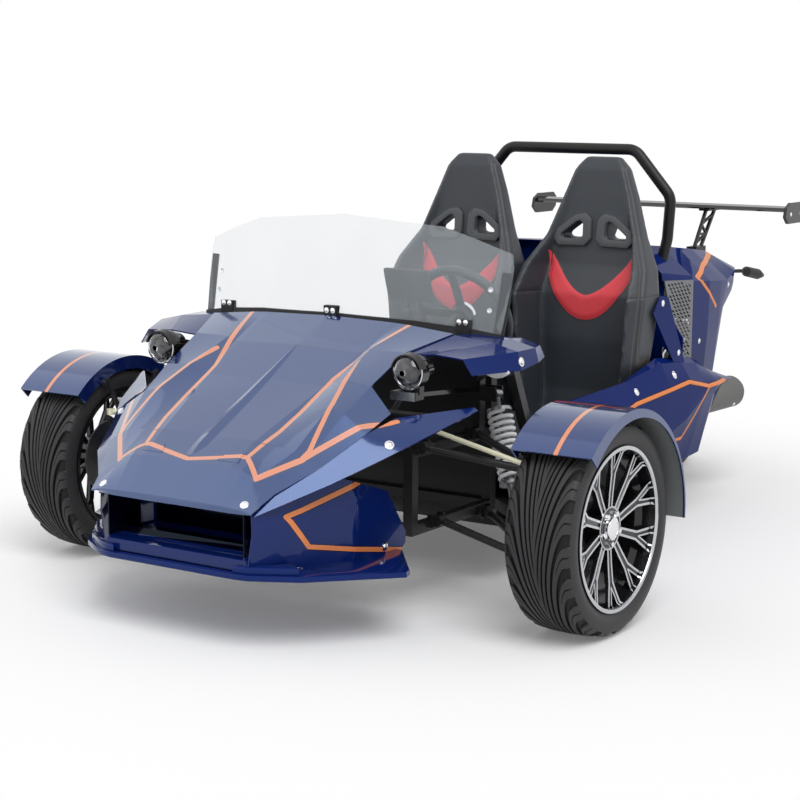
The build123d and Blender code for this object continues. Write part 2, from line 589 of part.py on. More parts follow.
cover = skin(cover_rows(COVER_FRONT)) + skin(cover_rows(COVER_TAIL))
tail_line = cover_rows(COVER_TAIL)[-1][1]
cover += hull([(TAIL_Y - SKIN, tail_line), (TAIL_Y, tail_line)])
QUARTER = [(1106, 743), (1153, 798), (1213, 789), (1356, 545), (1271, 560)]
QUARTER_X = 506
quarter_points = [(WALL_Y + y - 1330, z) for y, z in QUARTER]
FLANGE = [(400, 640), (400, 740), (436, 740), (QUARTER_X + 3, 640), (QUARTER_X + 3, 575), (470, 575)]
flange = upright(FLANGE, WALL_Y, WALL_Y + SKIN)
quarter = main(side_plate(quarter_points, QUARTER_X, 3) + flange - side_panels)
cover -= bar + side_panels
cover += both(quarter)
put("rear_body", cover)
wall = main(block(-436, 436, WALL_Y - SKIN, WALL_Y, 200, 960) - cover - bar - rear)
put("rear_wall", wall)

# Quarter grilles: rows of slanted slots, each row set off by half a slot
GRILLE_X = 443
GRILLE = [(-850, 830), (-626, 816), (-627, 520), (-710, 525)]
SLOT_LONG, SLOT_HIGH, SLOT_LEAN, BAR_W = 18, 6.5, 7, 6.5
grille_points = [(WHEELBASE + y, z) for y, z in GRILLE]
grille_face = Plane.YZ.offset(GRILLE_X) * make_face(Polyline(*grille_points, close=True))
grille = extrude(grille_face, 3)
inside = extrude(Plane.YZ.offset(GRILLE_X) * offset(make_face(Polyline(*grille_points, close=True)), -9), 3)
slots = []
row_step, slot_step = SLOT_HIGH + BAR_W, SLOT_LONG + BAR_W
for j in range(22):
    z = 532 + j * row_step
    for i in range(10):
        y = WHEELBASE - 860 + (i + j % 2 / 2) * slot_step
        slot = [(y, z + SLOT_LEAN), (y + SLOT_LONG, z), (y + SLOT_LONG, z + SLOT_HIGH), (y, z + SLOT_LEAN + SLOT_HIGH)]
        cell = side_plate(slot, GRILLE_X - 1, 5)
        if inside.is_inside(Vector(GRILLE_X + 1.5, y, z + SLOT_LEAN)) and inside.is_inside(
                Vector(GRILLE_X + 1.5, y + SLOT_LONG, z + SLOT_HIGH)):
            slots.append(cell)
grille -= slots
put("quarter_grilles", both(grille - cover))

# Wing with end plates on two trussed struts
WING_Y, WING_Z, CHORD, WING_HALF = WHEELBASE - 30, 1018, 150, 521
SECTION = [(0, 6), (10, 15), (50, 20), (100, 16), (CHORD, 6), (CHORD, 2), (60, 2), (10, 0)]
END_PLATE = [(-16, -18), (12, -42), (132, -42), (160, -20), (162, 16), (140, 34), (30, 34), (-6, 16)]
wing = extrude(Plane.YZ * make_face(Polyline(*[(WING_Y + y, WING_Z + z) for y, z in SECTION], close=True)),
               WING_HALF, both=True)
wing += both(side_plate([(WING_Y + y, WING_Z + z) for y, z in END_PLATE], WING_HALF, 12))
put("wing", wing)
STRUT_X, FOOT_Z = 190, 862
top_z = WING_Z - 6
rail_low, rail_top = (WHEELBASE - 95, WHEELBASE - 40), (WHEELBASE + 10, WHEELBASE + 85)
struts = Part()
for s in (-1, 1):
    for low, high in zip(rail_low, rail_top):
        struts += beam((s * STRUT_X, low, FOOT_Z), (s * STRUT_X, high, top_z), 10, 12)
    for share, next_share in ((0.2, 0.42), (0.42, 0.42), (0.66, 0.42), (0.66, 0.88)):
        z0, z1 = FOOT_Z + share * (top_z - FOOT_Z), FOOT_Z + next_share * (top_z - FOOT_Z)
        y0 = rail_low[0] + share * (rail_top[0] - rail_low[0])
        y1 = rail_low[1] + next_share * (rail_top[1] - rail_low[1])
        struts += beam((s * STRUT_X, y0, z0), (s * STRUT_X, y1, z1), 8, 8)
    struts += block(s * (STRUT_X - 20), s * (STRUT_X + 20), rail_top[0] - 20, rail_top[1] + 20, WING_Z - 8, WING_Z)
    struts += block(s * (STRUT_X - 20), s * (STRUT_X + 20), rail_low[0] - 14, rail_low[1] + 14, FOOT_Z, FOOT_Z + 20)
struts -= cover + wing
put("wing_struts", both(main(struts)))

# Steering wheel, column and rack
tilt = radians(COLUMN_TILT)
column_dir = Vector(0, cos(tilt), sin(tilt))
wheel_plane = Plane(origin=v(STEER_HUB), z_dir=column_dir)
steer = wheel_plane.location * revolve(Plane.XZ * (Pos(STEER_R, 0) * RegularPolygon(14, 8)), axis=Axis.Z)
steer += rod(STEER_HUB, tuple(v(STEER_HUB) - column_dir * 30), 32)
for angle in (0, 180, 270):
    steer += wheel_plane.location * (Rot(Z=angle) * Pos(STEER_R / 2 + 5, 0, -6) * Box(STEER_R - 10, 26, 8))
put("steering_wheel", steer)
col_top = v(STEER_HUB) - column_dir * (30 + RUNNING_GAP)
col_low = col_top - column_dir * 240
column = rod(tuple(col_top), tuple(col_low), 20)
RACK_Y, RACK_Z = TIE_IN[1] + 5, TIE_IN[2]
RACK_HALF, BOOT_ROOM, BOOT_END = 262, 266, 372
rack = rod((-RACK_HALF, RACK_Y, RACK_Z), (RACK_HALF, RACK_Y, RACK_Z), 24)
boot = ring([(RACK_HALF - 10, 20), (RACK_HALF - 10, 30), (BOOT_END, 30), (BOOT_END, 26), (BOOT_ROOM, 26),
             (BOOT_ROOM, 20)])
rack += both(Pos(0, RACK_Y, RACK_Z) * boot)
rack += rod(tuple(col_low), (STEER_HUB[0], RACK_Y, RACK_Z), 9)
for s in (-1, 1):
    rack += block(s * 180, s * 220, RACK_Y - 100, RACK_Y - 10, RACK_Z - 40, RACK_Z - 20)
    rack += block(s * 180, s * 220, -150, -120, HIGH_Z + RAIL / 2, RACK_Z - 20)
put("steering_rack", rack - column)
put("steering_column", column)

# Dash with its hood, and the display on a stalk
DASH_LINE = [(-440, 700), (-436, 762), (-400, 772), (400, 772), (436, 762), (440, 700)]
DASH_BACK = [(-440, 700), (-430, 732), (-396, 742), (396, 742), (430, 732), (440, 700)]
dash = skin([(164, DASH_LINE), (300, DASH_BACK)])
dash = main(dash - front - column - cowl)
put("dash", dash)
display = Plane(origin=(100, 235, 900), x_dir=(1, 0, 0), z_dir=(0, 0.95, 0.3)) * Box(230, 140, 14)
display += rod((100, 254, 846), (100, 252, 745), 10)
put("display", main(display - dash))

# Headlamps: deep cup, domed lens, brow and bracket; leaf-shaped indicators on stalks
LAMP = (437, -226, 706)
CUP = [(0, 14), (16, 36), (58, 48), (92, 50), (92, 45), (70, 40), (70, 31), (84, 30), (94, 22), (98, 8)]
lamp_back = (LAMP[0], LAMP[1] + 92, LAMP[2])
lamp = turned(lamp_back, LAMP, CUP)
brow = turned(lamp_back, LAMP, [(80, 54), (104, 50)]) - turned(lamp_back, LAMP, [(70, 49), (110, 46)])
lamp += brow & block(300, 600, -400, 0, LAMP[2] + 12, LAMP[2] + 80)
lamp += block(LAMP[0] - 12, LAMP[0] + 12, LAMP[1] + 40, LAMP[1] + 62, 640, LAMP[2] - 40)
lamp += block(366, 446, LAMP[1] + 24, LAMP[1] + 66, 624, 646)
lamp += beam((LAMP[0] - 30, LAMP[1] + 50, 634), (396, 120, 610), 18, 12) + beam((396, 120, 610), (396, 206, 600), 18, 12)
put("headlamps", both(main(lamp - front - hood - cowl)))
LEAF = ((549, 692), (595, 719), (641, 694), (595, 681))
leaf_line = ThreePointArc(LEAF[0], LEAF[1], LEAF[2]) + ThreePointArc(LEAF[2], LEAF[3], LEAF[0])
indicator = extrude(Plane.XZ.offset(4) * make_face(leaf_line), 26, taper=14)
indicator += rod((562, -6, 694), (396, 206, 630), 8)
put("indicators", both(main(indicator - front)))

# Radiator behind the intake
radiator = block(-215, 215, -420, -370, 270, 465) + block(-240, 240, -400, -390, LOW_Z + RAIL / 2, 280)
put("radiator", radiator - front - nose)

# Exhaust with a domed end
MUFFLER_IN, MUFFLER_OUT, MUFFLER_R = (318, PIVOT_Y + 40, 345), (352, WHEELBASE - 40, 350), 58
run = (v(MUFFLER_OUT) - v(MUFFLER_IN)).length
muffler = turned(MUFFLER_IN, MUFFLER_OUT, [(0, 30), (22, MUFFLER_R), (run - 34, MUFFLER_R), (run - 14, 48), (run, 26)])
muffler += rod((140, PIVOT_Y - 130, 300), (320, PIVOT_Y + 50, 345), 18)
muffler += rod((330, PIVOT_Y + 70, 345), (REAR_X, PIVOT_Y, 345), 10)
put("muffler", main(muffler - rear - engine))

# Plate bracket and rear indicators
arm_z = 800
bracket = block(-30, 30, TAIL_Y, TAIL_Y + 6, arm_z - 30, arm_z + 40)
bracket += beam((0, TAIL_Y + 3, arm_z), (0, PLATE_Y + 2, 640), 60, 6)
bracket += block(-110, 110, PLATE_Y, PLATE_Y + SKIN, 560, 690)
for x in (-PLATE_HOLES / 2, PLATE_HOLES / 2):
    bracket -= rod((x, PLATE_Y - 20, 600), (x, PLATE_Y + 20, 600), 3.5)
put("plate_bracket", bracket - cover)
STALK = (280, TAIL_Y - 4, 785)
LENS_IN, LENS_OUT = (298, TAIL_Y + 90, 780), (304, TAIL_Y + 258, 750)
rear_lamp = rod(STALK, LENS_IN, 7) + turned(LENS_IN, LENS_OUT, [(-4, 8), (20, 19), (120, 20), (165, 8)])
rear_lamp += rod((284, TAIL_Y - 4, 762), (300, TAIL_Y + 46, 668), 12)
put("rear_lamps", both(main(rear_lamp - cover)))
print("front axle at", FRONT_AXLE_Y)
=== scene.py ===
# %% [markdown]
# An open three-wheeled two-seater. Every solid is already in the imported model, in metres, with
# +X to the car's left, -Y ahead and +Z up. This script gives those solids their finishes and adds
# the pieces that are easier to shape here: tread, padding, stripes, bolts and seams.

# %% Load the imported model
import bpy
import bmesh
from math import atan2, cos, hypot, pi, radians, sin
from mathutils import Matrix, Vector


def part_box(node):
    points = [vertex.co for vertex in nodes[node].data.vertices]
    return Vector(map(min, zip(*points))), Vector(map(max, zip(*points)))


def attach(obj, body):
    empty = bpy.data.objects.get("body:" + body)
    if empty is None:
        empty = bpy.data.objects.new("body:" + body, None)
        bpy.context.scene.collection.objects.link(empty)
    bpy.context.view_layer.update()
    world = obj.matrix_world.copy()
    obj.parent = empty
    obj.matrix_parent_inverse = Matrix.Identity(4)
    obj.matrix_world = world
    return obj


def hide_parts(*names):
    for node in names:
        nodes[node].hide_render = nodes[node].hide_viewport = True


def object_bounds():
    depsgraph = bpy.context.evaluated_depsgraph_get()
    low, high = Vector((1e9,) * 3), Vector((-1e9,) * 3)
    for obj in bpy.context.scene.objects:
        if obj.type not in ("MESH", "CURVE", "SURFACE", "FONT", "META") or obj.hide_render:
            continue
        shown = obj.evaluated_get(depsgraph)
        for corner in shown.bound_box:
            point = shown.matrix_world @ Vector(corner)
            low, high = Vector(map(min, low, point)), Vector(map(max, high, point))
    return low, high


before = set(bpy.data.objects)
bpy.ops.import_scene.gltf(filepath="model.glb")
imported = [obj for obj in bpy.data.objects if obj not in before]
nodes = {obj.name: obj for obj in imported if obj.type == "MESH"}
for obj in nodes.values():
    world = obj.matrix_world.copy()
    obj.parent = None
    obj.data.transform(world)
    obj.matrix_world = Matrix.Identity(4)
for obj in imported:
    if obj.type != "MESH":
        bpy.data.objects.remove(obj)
cad_low, cad_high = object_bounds()
scene = bpy.context.scene
print("nodes", len(nodes), "box", [round(v, 3) for v in cad_high - cad_low])

# %% [markdown]
# Both axles are read from the boxes of the tyres. Every other place is measured back from the
# front axle, so the new pieces sit in the solids' own frame.

# %% Axles and sizes read from the solids
tyre_low, tyre_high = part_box("tyre_front_left")
AXLE_Y = (tyre_low.y + tyre_high.y) / 2
AXLE_Z = (tyre_low.z + tyre_high.z) / 2
WHEEL_X = (tyre_low.x + tyre_high.x) / 2
TYRE_R = (tyre_high.z - tyre_low.z) / 2
rear_low, rear_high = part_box("tyre_rear")
REAR_Y = (rear_low.y + rear_high.y) / 2
print("front axle", round(AXLE_Y, 3), "rear axle", round(REAR_Y, 3), "tyre radius", round(TYRE_R, 3))


def car(x, y, z):
    """A place measured from the front axle line on the ground, in metres."""
    return Vector((x, y + AXLE_Y, z))


# %% [markdown]
# Shader maths reads best as plain sums. This small class wraps one socket, so that `mask * 2 + 1`
# adds the Math nodes by itself, and `add` makes any other node.

# %% A class for shader sums
class Wire:
    """One output socket of a node tree, with the arithmetic that the finishes use."""

    def __init__(self, tree, socket):
        self.tree = tree
        self.socket = socket

    def add(self, kind, settings=None, inputs=None, output=0):
        """Makes a node: its settings first, then the values or links of its sockets."""
        node = self.tree.nodes.new(kind)
        for name, value in (settings or {}).items():
            setattr(node, name, value)
        for key, value in (inputs or {}).items():
            if isinstance(value, Wire):
                self.tree.links.new(value.socket, node.inputs[key])
            elif value is not None:
                node.inputs[key].default_value = value
        return Wire(self.tree, node.outputs[output])

    def math(self, operation, other=None):
        return self.add("ShaderNodeMath", {"operation": operation}, {0: self, 1: other})

    def __add__(self, other):
        return self.math("ADD", other)

    __radd__ = __add__

    def __sub__(self, other):
        return self.math("SUBTRACT", other)

    def __rsub__(self, other):
        return self.add("ShaderNodeMath", {"operation": "SUBTRACT"}, {0: other, 1: self})

    def __mul__(self, other):
        return self.math("MULTIPLY", other)

    __rmul__ = __mul__

    def __pow__(self, other):
        return self.math("POWER", other)

    def __abs__(self):
        return self.math("ABSOLUTE")

    def __lt__(self, other):
        return self.math("LESS_THAN", other)

    def __gt__(self, other):
        return self.math("GREATER_THAN", other)

    def held(self):
        """The same value kept between 0 and 1."""
        return self.add("ShaderNodeClamp", {}, {0: self})

    def vector(self, operation, other=None, output=0):
        return self.add("ShaderNodeVectorMath", {"operation": operation}, {0: self, 1: other}, output)

    def split(self):
        """The three coordinates of a place, each as a wire of its own."""
        apart = self.add("ShaderNodeSeparateXYZ", {}, {0: self}).socket.node
        return [Wire(self.tree, socket) for socket in apart.outputs]

    def noise(self, scale, detail=3.0):
        return self.add("ShaderNodeTexNoise", {}, {"Vector": self, "Scale": scale, "Detail": detail})


print("shader sums ready")

# %% [markdown]
# A finish starts as a blank material. These helpers fill it in: a mask for the outer faces of
# panels, plain values or links on its sockets, a mix of two colours, and a bump in metres.

# %% Shader helpers
finishes = {}


def blank(name):
    """A new material's shader and a wire of the object coordinates."""
    material = bpy.data.materials.new(name)
    material.use_nodes = True
    tree = material.node_tree
    place = tree.nodes.new("ShaderNodeTexCoord").outputs["Object"]
    finishes[name] = material
    return tree.nodes["Principled BSDF"], Wire(tree, place)


def facing_out(place):
    """1 where the surface faces away from the car's middle plane, and 0 on the backs of panels."""
    x = place.split()[0]
    normal = Wire(place.tree, place.socket.node.outputs["Normal"])
    return x * normal.split()[0] > 0.0


def set_on(shader, **values):
    """Sets plain values or links on the shader's sockets; names use _ for a space."""
    for name, value in values.items():
        socket = shader.inputs[name.replace("_", " ")]
        if isinstance(value, Wire):
            value.tree.links.new(value.socket, socket)
        else:
            socket.default_value = value


def mix_colour(factor, first, second):
    """A Mix node on colours, steered by a wire."""
    return factor.add("ShaderNodeMix", {"data_type": "RGBA"}, {0: factor, 6: first, 7: second}, 2)


def bump(height, distance):
    """A Bump node; the distance is in metres."""
    return height.add("ShaderNodeBump", {}, {"Height": height, "Distance": distance, "Strength": 1.0})


def tinted(colour, share):
    """A colour made darker or lighter by a share."""
    return (*(min(1.0, part * share) for part in colour[:3]), 1)


print("shader helpers ready")

# %% [markdown]
# Powder coat, moulded plastic and bare metal differ in colour, roughness, how metallic they are, and
# the size and depth of their grain. A slow noise makes colour and gloss a little uneven, as use
# does. Rubber is painted nearly black in the grooves, as painted shade, where the tread's groove value says that
# a point lies in a groove.

# %% Plain finishes
PLAIN = {
    # name: colour, roughness, metallic, grains per metre, grain depth
    "powder_black": ((0.011, 0.011, 0.012), 0.38, 0.0, 900.0, 0.00012),
    "plastic_black": ((0.016, 0.016, 0.018), 0.52, 0.0, 700.0, 0.00020),
    "gloss_black": ((0.006, 0.006, 0.007), 0.10, 0.0, 60.0, 0.00002),
    "wheel_black": ((0.008, 0.008, 0.009), 0.16, 0.0, 90.0, 0.00002),
    "steel": ((0.33, 0.33, 0.34), 0.34, 1.0, 300.0, 0.00006),
    "dark_steel": ((0.07, 0.07, 0.075), 0.45, 0.8, 400.0, 0.00010),
    "chrome": ((0.80, 0.80, 0.82), 0.07, 1.0, 80.0, 0.00001),
    "machined": ((0.54, 0.55, 0.57), 0.24, 1.0, 1200.0, 0.00003),
    "zinc_yellow": ((0.92, 0.88, 0.64), 0.34, 0.15, 300.0, 0.00006),
    "spring_white": ((0.88, 0.89, 0.91), 0.36, 0.0, 500.0, 0.00008),
    "cast_alloy": ((0.15, 0.15, 0.155), 0.55, 0.7, 350.0, 0.00040),
    "ring_grey": ((0.090, 0.093, 0.100), 0.50, 0.0, 600.0, 0.00015),
    "mesh_grey": ((0.17, 0.175, 0.185), 0.40, 0.3, 400.0, 0.00010),
    "screen_glass": ((0.008, 0.009, 0.012), 0.08, 0.0, 60.0, 0.00001),
    "muffler_grey": ((0.15, 0.15, 0.145), 0.55, 0.3, 300.0, 0.00015),
}
WEAR_SCALE, WEAR_TINT, WEAR_GLOSS = 9.0, 0.14, 0.14
MATT_FROM, MATT_SHINE, GLOSSY_SHINE = 0.35, 0.28, 0.5
# the second rubber colour is painted shade, for the grooves and sipes
RUBBER_WORN, RUBBER_GROOVE_SHADE = (0.034, 0.034, 0.036, 1), (0.002, 0.002, 0.002, 1)
for name, (colour, roughness, metallic, grains, depth) in PLAIN.items():
    shader, place = blank(name)
    wear = place.noise(WEAR_SCALE, 4.0)
    worn = mix_colour(wear, tinted(colour, 1 - WEAR_TINT), tinted(colour, 1 + WEAR_TINT))
    set_on(shader, Base_Color=worn, Metallic=metallic, Normal=bump(place.noise(grains), depth))
    set_on(shader, Roughness=wear * WEAR_GLOSS + (roughness - WEAR_GLOSS / 2))
    set_on(shader, Specular_IOR_Level=MATT_SHINE if roughness > MATT_FROM else GLOSSY_SHINE)
shader, place = blank("rubber")
# the groove value mixes in the painted shade of the grooves and sipes
sunk_and_shade = place.add("ShaderNodeAttribute", {"attribute_name": "sunk_and_shade"}, {}, 2)
set_on(shader, Base_Color=mix_colour(sunk_and_shade, RUBBER_WORN, RUBBER_GROOVE_SHADE), Roughness=0.5)
set_on(shader, Specular_IOR_Level=MATT_SHINE, Normal=bump(place.noise(500.0), 0.00015))
print("plain finishes", len(finishes))

# %% [markdown]
# Orange pinstripes with a thin dark edge follow the folds of the panels. Each is a chain of straight
# runs seen square on: from above for the hood, and from the side for the flanks. It is painted by
# the distance from a point to the nearest run, so it needs no picture and stays sharp at any size.

# %% Stripe routes
STRIPE_HALF, STRIPE_EDGE = 0.0065, 0.0022
HOOD_ROUTES = [
    # half breadth and distance behind the front axle
    [(0.0, -0.632), (0.176, -0.598), (0.236, -0.638), (0.317, -0.546), (0.452, -0.298)],
    [(0.176, -0.598), (0.200, -0.487), (0.207, -0.400), (0.211, -0.253), (0.284, 0.020)],
    [(0.316, -0.547), (0.322, -0.520), (0.298, -0.380), (0.250, -0.195)],
]
# thin dark gaps between the folds of the hood, drawn the same way
HOOD_GAPS = [[(0.0, -0.145), (0.195, -0.066)], [(0.132, -0.594), (0.130, -0.558), (0.200, -0.540)]]
GAP_HALF = 0.0011
SIDE_ROUTES = [
    # distance behind the front axle and height
    [(0.860, 0.463), (0.931, 0.475), (1.306, 0.499), (1.473, 0.464), (1.640, 0.462)],
    [(1.473, 0.464), (1.327, 0.302), (1.120, 0.306)],
]
TAIL_ROUTES = [[(2.100, 0.860), (1.800, 0.842), (1.596, 0.816), (1.803, 0.698)]]
NOSE_ROUTES = [[(-0.376, 0.424), (-0.602, 0.358), (-0.535, 0.268), (-0.190, 0.202)]]
FENDER_ROUTES = [[(0.900, -0.60), (0.900, 0.60)]]


def run_distance(across, along, routes):
    """How far a point is from the nearest straight run, in the plane of the two wires."""
    point = across.add("ShaderNodeCombineXYZ", {}, {0: across, 1: along})
    nearest = None
    for route in routes:
        for start, end in zip(route, route[1:]):
            first = Vector((*start, 0.0))
            run = Vector((*end, 0.0)) - first
            offset = point.vector("SUBTRACT", tuple(first))
            share = offset.vector("DOT_PRODUCT", tuple(run / run.length_squared), 1).held()
            foot = share.add("ShaderNodeVectorMath", {"operation": "SCALE"}, {0: tuple(run), "Scale": share})
            gap = offset.vector("SUBTRACT", foot).vector("LENGTH", output=1)
            nearest = gap if nearest is None else nearest.math("MINIMUM", gap)
    return nearest


ALL_ROUTES = HOOD_ROUTES + SIDE_ROUTES + TAIL_ROUTES + NOSE_ROUTES + FENDER_ROUTES
print("stripe runs", sum(len(route) - 1 for route in ALL_ROUTES))

# %% [markdown]
# The lacquer is a Principled shader with a dark metallic base, fine flake and a clear coat. The
# coat mirrors the pale surroundings more the flatter a panel is seen, which makes the facets
# read. Inside the nose's intake the blue is painted near black and its coat dulled, as painted shade, and the
# fenders are bare grey plastic underneath.

# %% Blue lacquer
NAVY_DARK, NAVY_LIGHT = (0.002, 0.008, 0.075, 1), (0.005, 0.024, 0.180, 1)
PEARL = (0.42, 0.68, 1.0, 1)
STRIPE_ORANGE, STRIPE_DARK = (0.80, 0.25, 0.085, 1), (0.012, 0.006, 0.010, 1)
# the first colour here is the painted shade inside the nose's intake
DUCT_SHADE_BLUE, UNDER_GREY = (0.001, 0.0015, 0.008, 1), (0.17, 0.172, 0.165, 1)
FLAKE, COAT_LEAST, GLOSS_ROUGH, UNDER_ROUGH = 0.25, 0.4, 0.14, 0.60
DUCT_HALF, DUCT_FRONT, DUCT_LOW, DUCT_HIGH, DUCT_DULL = 0.240, -0.690, 0.256, 0.385, 0.8
FENDER_UNDER, FENDER_LIP = 0.0035, 0.006
fender_low, fender_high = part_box("fender_left")
fender_radius = fender_high.z - AXLE_Z


def lacquer(name, view, least, routes, panel_shine):
    """Blue lacquer with stripes: view is the pair of axes the routes are drawn in, least the
    breadth they start at, and the last value how much the clear coat and the layer under it shine: painted
    light, set panel by panel for how the light falls on each."""
    shader, place = blank(name)
    x, y, z = place.split()
    y = y - AXLE_Y
    blue = mix_colour(place.noise(1400.0, 1.0), NAVY_DARK, NAVY_LIGHT)
    metallic = flake = FLAKE * min(1.0, panel_shine)
    if routes:
        axes = {"x": abs(x), "y": y, "z": z}
        gap = run_distance(axes[view[0]], axes[view[1]], routes)
        outer = (abs(x) > least) * (facing_out(place) if view == "yz" else 1.0)
        painted = (gap < STRIPE_HALF + STRIPE_EDGE) * outer
        blue = mix_colour(painted, blue, STRIPE_DARK)
        blue = mix_colour((gap < STRIPE_HALF) * outer, blue, STRIPE_ORANGE)
        metallic = flake - painted * flake
    if routes is HOOD_ROUTES:
        blue = mix_colour(run_distance(abs(x), y, HOOD_GAPS) < GAP_HALF, blue, STRIPE_DARK)
    # the panel's shine value sets coat, flake and specular: painted light, chosen per panel for how light falls
    # on it
    coat, roughness = min(1.0, COAT_LEAST + (1 - COAT_LEAST) * panel_shine), GLOSS_ROUGH
    if routes is NOSE_ROUTES:
        # painted shade: inside the intake the blue is near black and the coat is dulled
        duct_shade = (abs(x) < DUCT_HALF) * (y > DUCT_FRONT) * (z > DUCT_LOW) * (z < DUCT_HIGH)
        blue = mix_colour(duct_shade, blue, DUCT_SHADE_BLUE)
        coat = 1.0 - duct_shade * DUCT_DULL
    if routes is FENDER_ROUTES:
        height = z - AXLE_Z
        radius = (y * y + height * height).math("SQRT")
        between = (abs(x) > fender_low.x + FENDER_LIP) * (abs(x) < fender_high.x - FENDER_LIP)
        under = (radius < fender_radius - FENDER_UNDER) * between
        blue = mix_colour(under, blue, UNDER_GREY)
        coat = 1.0 - under
        roughness = under * (UNDER_ROUGH - GLOSS_ROUGH) + GLOSS_ROUGH
        metallic = metallic * (1.0 - under)
    set_on(shader, Base_Color=blue, Metallic=metallic, Roughness=roughness, Coat_Weight=coat)
    set_on(shader, Coat_Roughness=0.02, Coat_IOR=1.3 + 0.2 * panel_shine, IOR=1.8, Specular_Tint=PEARL)
    set_on(shader, Specular_IOR_Level=0.55 * panel_shine)


print("fender radius", round(fender_radius, 3))

# %% [markdown]
# It is one paint, but each panel has its own stripes. The flanks shine less than the hood: outdoors
# they mirror dark ground, and the plain white surround here would wash them out.

# %% Lacquer of each panel
LACQUERS = [
    # name, view of the routes, breadth they start at, routes, panel shine (painted light, set per panel)
    ("lacquer", "xy", 0.0, [], 0.12),
    ("lacquer_hood", "xy", 0.0, HOOD_ROUTES, 1.5),
    ("lacquer_blade", "xy", 0.0, HOOD_ROUTES, 0.6),
    ("lacquer_side", "yz", 0.49, SIDE_ROUTES, 0.0),
    ("lacquer_tail", "yz", 0.22, TAIL_ROUTES, 0.0),
    ("lacquer_nose", "yz", 0.25, NOSE_ROUTES, 0.12),
    ("lacquer_fender", "xy", 0.7, FENDER_ROUTES, 0.8),
]
for row in LACQUERS:
    lacquer(*row)
print("lacquers", len(LACQUERS))

# %% [markdown]
# The windscreen is a thin, faintly grey sheet, so a partly transparent shader is closer to it than
# real refraction. The lamps' cover is refracting glass, and the leaf is pale ribbed plastic.

# %% Clear finishes
SCREEN_GREY, SCREEN_ALPHA, SCREEN_HAZE = (0.60, 0.66, 0.70, 1), 0.17, 0.06
LAMP_WHITE, LAMP_WAVES, LEAF_GREY = (0.97, 0.98, 1.0, 1), 30.0, (0.70, 0.72, 0.74, 1)
RIB_RATE, RIB_HIGH = 900.0, 0.0006
shader, place = blank("screen_clear")
haze = place.noise(6.0, 4.0)
set_on(shader, Base_Color=SCREEN_GREY, Roughness=0.04, Coat_Weight=0.6)
set_on(shader, Alpha=haze * SCREEN_HAZE + (SCREEN_ALPHA - SCREEN_HAZE / 2))
shader, place = blank("lamp_glass")
set_on(shader, Base_Color=LAMP_WHITE, Transmission_Weight=1.0, Roughness=0.0, IOR=1.45)
set_on(shader, Normal=bump(place.noise(LAMP_WAVES), 0.0001))
shader, place = blank("leaf_clear")
ribs = (place.split()[0] * RIB_RATE).math("SINE")
set_on(shader, Base_Color=LEAF_GREY, Roughness=0.08, Normal=bump(ribs, RIB_HIGH))
print("clear finishes ready")

# %% [markdown]
# Seat covers are black leather cloth with a fine pore, and a red insert across the chest. Insert,
# seams and stitches are drawn as seen from the front. A seam is a valley with painted shade, a thin
# near-black line, and a stitch is a short pale dash beside it.

# %% Seat leather
SEAT_X = sum(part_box("seat_left")[i].x for i in (0, 1)) / 2
LEATHER, RED = (0.027, 0.032, 0.040, 1), (0.72, 0.050, 0.065, 1)
SEAT_SEAMS = [
    # half breadth from the seat's middle, and height
    [(0.150, 0.400), (0.160, 0.640), (0.165, 0.790), (0.156, 0.860), (0.150, 0.930), (0.138, 0.985)],
    [(0.165, 0.795), (0.250, 0.800)],
]
EDGE_SEAMS = [[(0.205, 0.300), (0.205, 0.470), (0.226, 0.640), (0.240, 0.790), (0.222, 0.880), (0.168, 0.980),
               (0.122, 1.110), (0.088, 1.200)]]
CHEST_TIP, CHEST_TOP, CHEST_LOW, CHEST_HIGH, CHEST_END = 0.158, 0.788, 0.706, 0.930, 0.850
# the valley colour is the painted shade along the seams
SEAT_FRONT, VALLEY_HALF, VALLEY_SHADE = 1.215, 0.0016, (0.004, 0.004, 0.005, 1)
STITCH_OFF, STITCH_HALF, STITCH_RATE, STITCH_FROM = 0.005, 0.0009, 900.0, -0.3
STITCH_PALE, PORE_SCALE, CREASE_RATE = (0.11, 0.085, 0.075, 1), 520.0, 350.0


def pores(place):
    """The small cells of leather's grain."""
    return place.add("ShaderNodeTexVoronoi", {}, {"Vector": place, "Scale": PORE_SCALE})


def chest_edges(across):
    """The upper and lower edge of the red insert at a half breadth, for wires and for numbers."""
    share = across * (1 / CHEST_TIP)
    upper = share ** 1.7 * (CHEST_HIGH - CHEST_TOP) + CHEST_TOP
    lower = share ** 2.1 * (CHEST_END - CHEST_LOW) + CHEST_LOW
    return upper, lower


def leather(name, middle):
    """A seat's cover: black, with the red insert, seams darkened as painted shade, and a row of pale stitches.
    """
    shader, place = blank(name)
    x, y, z = place.split()
    across = abs(x - middle)
    front = y < AXLE_Y + SEAT_FRONT
    upper, lower = chest_edges(across)
    red = (z < upper) * (z > lower) * (across < CHEST_TIP) * front
    seam = run_distance(across, z, SEAT_SEAMS)
    edge = run_distance(across, z, EDGE_SEAMS)
    dashes = (z * STITCH_RATE).math("SINE") > STITCH_FROM
    stitch = (abs(edge - STITCH_OFF) < STITCH_HALF) * dashes * front
    # painted shade along the seam valleys
    valley_shade = (seam < VALLEY_HALF) * front
    colour = mix_colour(place.noise(14.0, 4.0), tinted(LEATHER, 0.85), tinted(LEATHER, 1.2))
    colour = mix_colour(red, colour, RED)
    colour = mix_colour(valley_shade, colour, VALLEY_SHADE)
    colour = mix_colour(stitch, colour, STITCH_PALE)
    crease = (edge * CREASE_RATE).held()
    set_on(shader, Base_Color=colour, Roughness=0.47, Normal=bump(pores(place) * 0.25 + crease, 0.0009))


